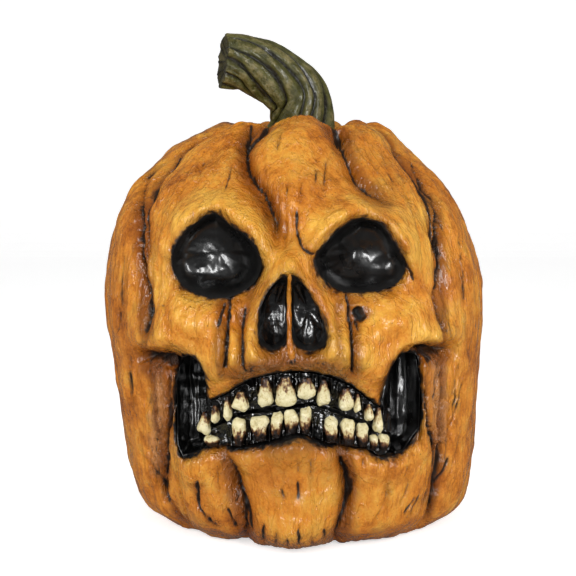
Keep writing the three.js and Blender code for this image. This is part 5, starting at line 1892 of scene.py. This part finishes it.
@dataclass
class Mouth:
    """The mouth's lining, gums and teeth.

    Attributes:
        form: the body's form.
        gum_recess: how far the gums' front lies behind the ribs' crest.
        rim_recess: how far the lining's edge lies behind the skin at the cheeks.
        depth: how deep the lining is behind the gums.
        hollow_depth: how deep it is behind the cheeks.
        slant: how much deeper a hollow's floor gets per millimetre outwards; below zero it gets
            shallower.
        tilt: how much deeper it gets per millimetre up.
        wall: the lining's wall in the solids; the surface here is 1.5 mm thicker.
        gap: how far the lining's edge lies inside the outline; below zero it is let into the skin.
        bite_gap: half the gap between the gums.
        thickness: the teeth's thickness.
        lip_gap: how far the roots keep from the mouth's edge.
        corner_share: how far from the middle the gums' ends begin to close, as a share of the
            mouth's width.
        reach_share: how far out they end, as such a share.
    """

    form: BodyForm
    gum_recess: float = 3.0
    rim_recess: float = 3.2
    depth: float = 11.0
    hollow_depth: float = 26.0
    slant: float = -0.52
    tilt: float = 0.16
    wall: float = 2.0
    gap: float = -0.25
    bite_gap: float = 1.2
    thickness: float = 8.0
    lip_gap: float = 1.0
    corner_share: float = 0.355
    reach_share: float = 0.38

    def build(self) -> None:
        """Makes the lining, both gums and every tooth."""
        lining = BlackGloss("lining_gloss", 110.0, 0.0016, 0.1, 0.24).material()
        self.lining().piece("mouth_lining", lining, "mouth_liner", "black_gloss")
        gum_gloss = BlackGloss("gum_gloss", 160.0, 0.0016, 0.1, 0.2).material()
        cream = ToothPaint().material()
        for jaw, teeth in ((Jaw.UPPER, UPPER_TEETH), (Jaw.LOWER, LOWER_TEETH)):
            gum = self.gum(jaw, teeth)
            gum.piece(f"{jaw.value}_gum_ridge", gum_gloss, f"{jaw.value}_gum", "black_gloss")
            for number, tooth in enumerate(teeth, start=1):
                name = f"{jaw.value}_tooth_{number:02d}"
                crown = name.replace("tooth", "crown")
                self.tooth(tooth, number).piece(crown, cream, name, "tooth_paint")
            log.info("%s jaw: %d teeth", jaw.value, len(teeth))

    @cached_property
    def top(self) -> Array:
        """The mouth's top edge, from left to right."""
        return MOUTH.places(MOUTH_TOP)

    @cached_property
    def bottom(self) -> Array:
        """The mouth's bottom edge, from left to right."""
        return MOUTH.places(MOUTH_BOTTOM)

    @cached_property
    def bite(self) -> Array:
        """The line where the jaws meet."""
        return MOUTH.places(MOUTH_BITE)

    def gum_front(self, x: Array) -> Array:
        """Finds the gums' y: the ribs' crest circle at the mouth's height, set back by the recess.

        Args:
            x: places across.

        Returns:
            The y at each place.
        """
        level = MOUTH.centre[1]
        radius = self.form.crest_radius(level)
        across = x - self.form.axis_shift(level)
        return self.gum_recess - self.form.ratio * np.sqrt(radius**2 - across**2)

    def lining(self) -> Surface:
        """Spans the mouth with a dished sheet: a plate behind the gums, deeper behind each cheek.

        The floor's depth blends from the middle's to the hollows' by the distance from the middle, and
        the rim climbs to the skin over a short way in from the edge.

        Returns:
            The closed slab.
        """
        columns = np.linspace(-0.5, 0.5, 150)
        columns = 0.5 * np.sign(columns) * (1 - (1 - np.abs(columns) * 2) ** 1.25)
        level = np.concatenate([[0, 0.02, 0.05], np.linspace(0.08, 0.92, 42), [0.95, 0.98, 1]])
        x = MOUTH.centre[0] + columns * (MOUTH.size[0] - 2 * self.gap)
        low = np.interp(x, *self.bottom.T) + self.gap
        high = np.interp(x, *self.top.T) - self.gap
        x, z = np.broadcast_arrays(x[None], low + (high - low) * level[:, None])
        aside = np.abs(x - MOUTH.centre[0]) / MOUTH.size[0]
        depth = lerp(self.depth, self.hollow_depth, smoothstep(aside, 0.37, 0.42))
        floor = self.gum_front(x) - self.gum_recess + depth
        leaning = self.slant * (aside - 0.44) * MOUTH.size[0] + self.tilt * (z - MOUTH.centre[1])
        floor = floor + leaning * smoothstep(aside, 0.38, 0.4)
        in_x, in_z = 0.5 - np.abs(columns)[None], np.minimum(level, 1 - level)[:, None]
        rim = lerp(floor, self.form.face_depth(x, z) + self.rim_recess, smoothstep(aside, 0.37, 0.4))
        sunk = smoothstep(in_x, 0, 0.05) * smoothstep(in_z, 0, 0.07)
        y = lerp(rim, floor, sunk)
        near = np.stack([x, y, z], axis=-1)
        grooves = Grain(41, (3.5, 9.0, 22.0), 3).at(near) * 1.6
        grooves = grooves + Grain(42, (8.0, 8.0, 8.0), 2).at(near) * 1.2
        near[..., 1] += grooves * sunk * np.where(x > 0, 0.35, 1.0)
        far = np.stack([x, y + self.wall + 1.5, z], axis=-1)
        return slab(near, far)

    def roots(self, teeth: tuple[Tooth, ...]) -> list[tuple[Array, float, float, float]]:
        """Turns the teeth's shares into millimetres, with the roots clear of the lip.

        Args:
            teeth: the teeth.

        Returns:
            Each tooth's middle, root height, tip height and half width.
        """
        made = []
        for tooth in teeth:
            x, root = MOUTH.places((tooth.middle, tooth.root))
            _, tip = MOUTH.places((tooth.middle, tooth.tip))
            width = tooth.width * MOUTH.size[0]
            places = x + np.array([-0.5, 0, 0.5]) * width
            if tip < root:
                root = min(root, *(np.interp(places, *self.top.T) - self.lip_gap))
            else:
                root = max(root, *(np.interp(places, *self.bottom.T) + self.lip_gap))
            made.append((x, root, tip, width / 2))
        return made

    def gum(self, jaw: Jaw, teeth: tuple[Tooth, ...]) -> Surface:
        """Swells a gum round its teeth: a collar stands along each root and a web fills between.

        Args:
            jaw: upper or lower.
            teeth: the teeth that stand on it.

        Returns:
            The closed slab.
        """
        up = 1.0 if jaw is Jaw.UPPER else -1.0
        middle, size = MOUTH.centre[0], MOUTH.size[0]
        reach, corner = self.reach_share * size, self.corner_share * size
        x = middle + np.linspace(-reach, reach, 240)
        edge = self.top if jaw is Jaw.UPPER else self.bottom
        lip = np.interp(np.clip(x, middle - corner, middle + corner), *edge.T) - up * 0.3
        bite = np.interp(x, *self.bite.T) + up * self.bite_gap
        end = smoothstep(np.abs(x - middle), corner, reach)
        lip = lerp(lip, bite, 0.55 * end)
        share = np.linspace(0, 1, 60)[:, None]
        low, high = (bite, lip) if jaw is Jaw.UPPER else (lip, bite)
        x, z = np.broadcast_arrays(x[None], low + (high - low) * share)
        front = self.gum_front(x)
        collar, ring = np.zeros_like(x), np.zeros_like(x)
        for at, root, tip, half in self.roots(teeth):
            step = (z - root) * -up
            along = step / abs(tip - root)
            away = np.hypot(x - at, np.minimum(step, 0)) - 0.85 * half
            swell = (1 - smoothstep(away, 0.5, 5.5)) * (1 - smoothstep(along, 0.2, 0.75))
            bead = np.exp(-(((away - 1.5) / 0.8) ** 2)) * (1 - smoothstep(along, 0.35, 0.8))
            collar, ring = np.maximum(collar, swell), np.maximum(ring, bead)
        near = np.stack([x, front - 3.0 * collar - (1.4 if jaw is Jaw.UPPER else 2.4) * ring, z], axis=-1)
        near[..., 1] -= Grain(51, (6.5, 6.5, 6.5), 3).at(near) * 1.8
        edge_fade = smoothstep(np.minimum(share, 1 - share), 0, 0.06)
        near[..., 1] = lerp(front, near[..., 1], edge_fade)
        back = self.gum_front(x) - self.gum_recess + self.depth - 0.6
        return slab(near, np.stack([x, back, z], axis=-1))

    def tooth(self, tooth: Tooth, number: int) -> Surface:
        """Stacks rounded rings from root to tip.

        Each ring is a superellipse whose width and thickness swell towards the crown and close at the
        tip along a quarter ellipse.

        Args:
            tooth: its place and size.
            number: its place in the row, which also seeds its unevenness.

        Returns:
            The closed surface, with the field "root".
        """
        ((x, root, tip, half),) = self.roots((tooth,))
        upper = tip < root
        length = abs(tip - root)
        tip_levels = 0.8 + 0.2 * np.sin(np.linspace(0.15, 1.45, 9))
        level = np.concatenate([[0.0, 0.02], np.linspace(0.06, 0.8, 16), tip_levels])
        swelling = (0.5, 0.7, 0.94, 1.04, 1.0) if upper else (0.62, 0.9, 1.0, 1.0, 0.95)
        width = np.interp(level, (0, 0.3, 0.6, 0.82, 1), swelling)
        thick = np.interp(level, (0, 0.35, 0.78, 1), (0.5, 0.86, 0.95, 0.6))
        closing = np.sqrt(np.maximum(1 - np.clip((level - 0.74) / 0.26, 0, 1) ** 2.2, 0.0))
        width, thick = width * lerp(0.45, 1.0, closing), thick * closing
        turn = np.linspace(0, 2 * np.pi, 36, endpoint=False)
        squareness = 0.75
        rounded_x = np.sign(np.cos(turn)) * np.abs(np.cos(turn)) ** squareness
        rounded_y = np.sign(np.sin(turn)) * np.abs(np.sin(turn)) ** squareness
        local = np.stack(
            [
                rounded_x[None] * width[:, None] * half,
                rounded_y[None] * thick[:, None] * self.thickness / 2,
                np.broadcast_to((level[:, None] - 0.5) * length, (len(level), len(turn))),
            ],
            axis=-1,
        )
        seed = 60 + number + (30 if upper else 0)
        slant, taper, phase = np.random.default_rng(seed).uniform(-1.0, 1.0, 3)
        cusps = 0.03 * length * np.cos(local[..., 0] / half * 4.0 + 3.0 * phase)
        local[..., 2] += (0.2 * slant * local[..., 0] + cusps) * level[:, None] ** 3
        local[..., 0] *= 1 + 0.16 * taper * (level[:, None] - 0.5)
        bumps = Grain(seed, (4.5, 4.5, 5.0), 3).at(local)
        local = local * (1 + 0.18 * bumps[..., None] * np.array([1.0, 0.7, 0.25]))
        if upper:
            local = local * np.array([-1.0, 1.0, -1.0])
        lean = math.radians(tooth.lean)
        turn_z = math.asin(float((x - self.form.axis_shift(root)) / self.form.crest_radius(root)))
        lx = local[..., 0] * math.cos(lean) + local[..., 2] * math.sin(lean)
        lz = -local[..., 0] * math.sin(lean) + local[..., 2] * math.cos(lean)
        ly = local[..., 1]
        middle_y = float(self.gum_front(x)) - 0.3 - self.thickness / 2
        points = np.stack(
            [
                x + lx * math.cos(turn_z) - ly * math.sin(turn_z),
                middle_y + lx * math.sin(turn_z) + ly * math.cos(turn_z),
                (root + tip) / 2 + lz,
            ],
            axis=-1,
        )
        roots = (1 - level[:, None]) * ((0.76 if upper else 1.0) + 0.3 * np.abs(np.cos(turn)) ** 6)
        return tube(points, {"root": roots})


@dataclass
class Stem:
    """The bent, ridged stem and its spigot.

    Attributes:
        form: the body's form.
        height: the stem's height, which its path's shares follow.
        base_radius: the radius at the seat.
        tip_radius: the radius at the cut end.
        ridges: how many ridges run along it.
        ridge_depth: how deep the furrows are.
        twist: how far the ridges turn from the seat to the end, in radians.
        seat_gap: how far the stem stands off the crown.
        spigot_radius: the radius of the spigot.
        spigot_length: how far it goes down into the body.
        path_shares: the middle line from the seat, as shares of the height.
    """

    form: BodyForm
    height: float = 68.0
    base_radius: float = 21.5
    tip_radius: float = 17.5
    ridges: int = 10
    ridge_depth: float = 2.6
    twist: float = math.pi * 0.6
    seat_gap: float = 0.3
    spigot_radius: float = 14.6
    spigot_length: float = 24.0
    path_shares: tuple[tuple[float, float, float], ...] = (
        (0, 0, 0), (0.018, 0, 0.26), (-0.045, -0.02, 0.47), (-0.25, -0.07, 0.64), (-0.5, -0.12, 0.755),
        (-0.73, -0.17, 0.78),
    )

    def build(self) -> None:
        """Makes the stem."""
        self.stalk().piece("ridged_stem", StemPaint().material(), "stem", "stem_paint")
        log.info("stem")

    def stalk(self) -> Surface:
        """Sweeps a ridged ring along the bent path.

        The radius is the taper with a flare at the seat, less a furrow that follows a power of 1 less
        |cos| of half the ridge count times the turn.

        Returns:
            The closed surface, with the fields "furrow" and "cut".
        """
        crown = float(self.form.profile(np.array(1.0))[1])
        seat = np.array([self.form.stem_shift, 0, crown + self.seat_gap])
        path = np.array(self.path_shares) * self.height + seat
        steps, sides = 110, 200
        centre = spline(path, False, steps)
        direction = np.gradient(centre, axis=0)
        direction[0] = (0, 0, 1)
        direction /= np.linalg.norm(direction, axis=1, keepdims=True)
        across = np.cross([0.0, 1.0, 0.0], direction)
        across /= np.linalg.norm(across, axis=1, keepdims=True)
        beside = np.cross(direction, across)
        share = np.linspace(0, 1, steps + 1)[:, None]
        turn = np.linspace(0, 2 * np.pi, sides, endpoint=False)[None]
        flare = 1 + 0.12 * np.exp(-((share / 0.12) ** 2))
        size = lerp(self.base_radius, self.tip_radius, share) * flare
        rough = Grain(71, (1.0, 1.0, 1.0), 3)

        def uneven(waves: float, along: Array) -> Array:
            """Noise round and along the stem, with this many waves across the ring."""
            places = np.broadcast_arrays(np.cos(turn) * waves, np.sin(turn) * waves, along)
            return rough.at(np.stack(places, axis=-1))

        wobble = uneven(2.2, share * 3.0)
        crest = np.abs(np.cos(self.ridges / 2 * (turn + 0.16 * wobble)))
        furrow = (1 - crest) ** 1.4
        lumps, fibres = uneven(5, share * 9.0 + 5), uneven(22, share * 4.0 + 9)
        radius = size - self.ridge_depth * (1.25 * furrow - 0.1) + 0.45 * lumps + 0.3 * fibres
        swirl = turn + self.twist * share
        rings = centre[:, None] + across[:, None] * (radius * np.cos(swirl))[..., None]
        rings = rings + beside[:, None] * (radius * np.sin(swirl))[..., None]
        cap = self.cut_end(rings[-1], centre[-1], direction[-1])
        plug_x = seat[0] + self.spigot_radius * np.cos(turn[0])
        plug_y = self.spigot_radius * np.sin(turn[0])
        heights = [np.full(sides, seat[2] - drop) for drop in (self.spigot_length, 0.0)]
        plug = np.stack([np.stack([plug_x, plug_y, height], axis=-1) for height in heights])
        body = np.concatenate([plug, rings, cap])
        end_furrow = np.repeat(furrow[-1:], len(cap), axis=0)
        fields = {
            "furrow": np.concatenate([np.ones((2, sides)), furrow, end_furrow]),
            "cut": np.concatenate([np.zeros((len(rings) + 2, sides)), np.ones((len(cap), sides))]),
        }
        return tube(body, fields)

    def cut_end(self, edge: Array, middle: Array, direction: Array) -> Array:
        """Rounds the cut end over and dishes it into a rough pith.

        Args:
            edge: the last ring.
            middle: its middle.
            direction: the way the stem points there.

        Returns:
            Rings that shrink to the middle, pushed along the stem by the edge's roll less the dish.
        """
        shrink = np.array([0.985, 0.95, 0.88, 0.78, 0.66, 0.54, 0.42, 0.3, 0.18, 0.07])[:, None, None]
        push = np.array([0.5, 0.9, 1.0, 0.6, -0.2, -1.0, -1.6, -2.0, -2.2, -2.3])[:, None, None]
        rings = middle + (edge - middle)[None] * shrink + direction * push
        rough = Grain(72, (3.5, 3.5, 3.5), 2).at(rings)[..., None]
        return rings + direction * rough * 0.7


def dress(node: str, material: bpy.types.Material) -> None:
    """Gives a carried-over solid its finish.

    Args:
        node: the solid's name.
        material: its finish.
    """
    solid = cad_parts[node]
    solid.data.materials.clear()
    solid.data.materials.append(material)


@dataclass(frozen=True)
class Lamp:
    """A soft rectangular lamp.

    Attributes:
        name: its name.
        place: where it hangs, in metres.
        size: its width and height in metres.
        power: its power in watts.
        mirrored: whether glossy surfaces mirror it.
    """

    name: str
    place: tuple[float, float, float]
    size: Point
    power: float
    mirrored: bool = True

    def build(self, aim: Vector) -> None:
        """Hangs the lamp and turns it to the object.

        Args:
            aim: the place it points at, in metres.
        """
        data = bpy.data.lights.new(self.name, "AREA")
        data.shape = "RECTANGLE"
        data.size, data.size_y = self.size
        data.energy = self.power
        lamp = bpy.data.objects.new(self.name, data)
        lamp.location = self.place
        lamp.visible_glossy = self.mirrored
        lamp.rotation_euler = (aim - Vector(self.place)).to_track_quat("-Z", "Y").to_euler()
        bpy.context.scene.collection.objects.link(lamp)


@dataclass
class Studio:
    """A white sweep, soft lamps and the camera.

    Attributes:
        distance: from the camera to its aim, in metres.
        elevation: the camera's height angle in degrees.
        aim: the place it looks at, in metres.
        lens: the focal length for the sensor's width.
        sensor_width: the frame's width in millimetres.
        fill: the sky's plain light.
        gloss_loss: how much less of it glossy surfaces mirror.
        sweep_glow: how strongly the floor shines to the camera.
        lamps: the soft lamps.
    """

    distance: float = 1.05
    elevation: float = 7.0
    aim: tuple[float, float, float] = (-0.004, 0.0, 0.1514)
    lens: float = 98.56
    sensor_width: float = 36.0
    fill: float = 0.34
    gloss_loss: float = 0.22
    sweep_glow: float = 0.6
    lamps: tuple[Lamp, ...] = (
        Lamp("left_fill", (-1.05, -0.3, 0.45), (0.6, 0.85), 4.6, False),
        Lamp("right_fill", (1.05, -0.3, 0.45), (0.6, 0.85), 5.0, False),
        Lamp("top_fill", (0.0, -0.25, 1.3), (0.6, 0.5), 2.4, False),
        Lamp("left_strip", (-0.44, -1.15, 0.54), (0.15, 0.6), 6.0),
        Lamp("right_strip", (0.44, -1.15, 0.54), (0.15, 0.6), 6.0),
    )

    def build(self) -> None:
        """Sets up the camera first, then the lamps, the sky and the sweep."""
        scene = bpy.context.scene
        aim = Vector(self.aim)
        angle = math.radians(self.elevation)
        camera = bpy.data.cameras.new("camera")
        camera.lens, camera.sensor_width = self.lens, self.sensor_width
        camera.clip_end = 20.0
        eye = bpy.data.objects.new("camera", camera)
        eye.location = aim + self.distance * Vector((0, -math.cos(angle), math.sin(angle)))
        eye.rotation_euler = (aim - eye.location).to_track_quat("-Z", "Y").to_euler()
        scene.collection.objects.link(eye)
        scene.camera = eye
        scene.view_settings.view_transform = "Standard"
        for lamp in self.lamps:
            lamp.build(aim)
        self.sky()
        self.sweep()

    def sky(self) -> None:
        """White to the camera, dim in reflections, and a plain fill light for the rest."""
        world = bpy.data.worlds.new("sky")
        bpy.context.scene.world = world
        world.use_nodes = True
        tree = world.node_tree
        w = Weave("sky", tree)
        path = w.node("ShaderNodeLightPath")
        seen, glossy = (Wire(w, path.outputs[name]) for name in ("Is Camera Ray", "Is Glossy Ray"))
        strength = w.math("MAXIMUM", seen, self.fill - glossy * self.gloss_loss)
        sky = w.node("ShaderNodeBackground", {}, {0: (1.0, 1.0, 1.0, 1.0), 1: strength})
        w.node("ShaderNodeOutputWorld", {}, {0: sky.outputs[0]})

    def sweep(self) -> None:
        """Lays the floor and bends it up behind: a flat stretch, a quarter circle and a wall."""
        bend = np.linspace(0, np.pi / 2, 24)
        radius, back = 0.8, 1.6
        line = np.concatenate(
            [
                [[-3.0, 0.0]],
                np.stack([back + radius * np.sin(bend), radius * (1 - np.cos(bend))], axis=1),
                [[back + radius, 4.0]],
            ]
        )
        x = np.array([-4.0, 4.0])
        points = np.stack(
            [np.tile(x, len(line)), np.repeat(line[:, 0], 2), np.repeat(line[:, 1], 2)], axis=1
        )
        mesh = bpy.data.meshes.new("sweep")
        mesh.from_pydata(points.tolist(), [], grid_faces(len(line), 2).tolist())
        floor = bpy.data.objects.new("sweep", mesh)
        bpy.context.scene.collection.objects.link(floor)
        w = Weave("sweep_white")
        seen = Wire(w, w.node("ShaderNodeLightPath").outputs["Is Camera Ray"])
        mesh.materials.append(
            w.finish(
                Base_Color=(0.86, 0.86, 0.86, 1.0), Roughness=0.9, Specular_IOR_Level=0.0,
                Emission_Color=w.blend(seen, "000000", "ffffff"), Emission_Strength=self.sweep_glow,
            )
        )
        floor.visible_glossy = False


def main() -> None:
    """Builds the studio and the object's pieces in order."""
    logging.basicConfig(level=logging.INFO, format="%(name)s: %(message)s")
    Studio().build()
    body = Body()
    body.build()
    Sockets(body.form).build()
    Mouth(body.form).build()
    Stem(body.form).build()


if __name__ == "__main__":
    main()
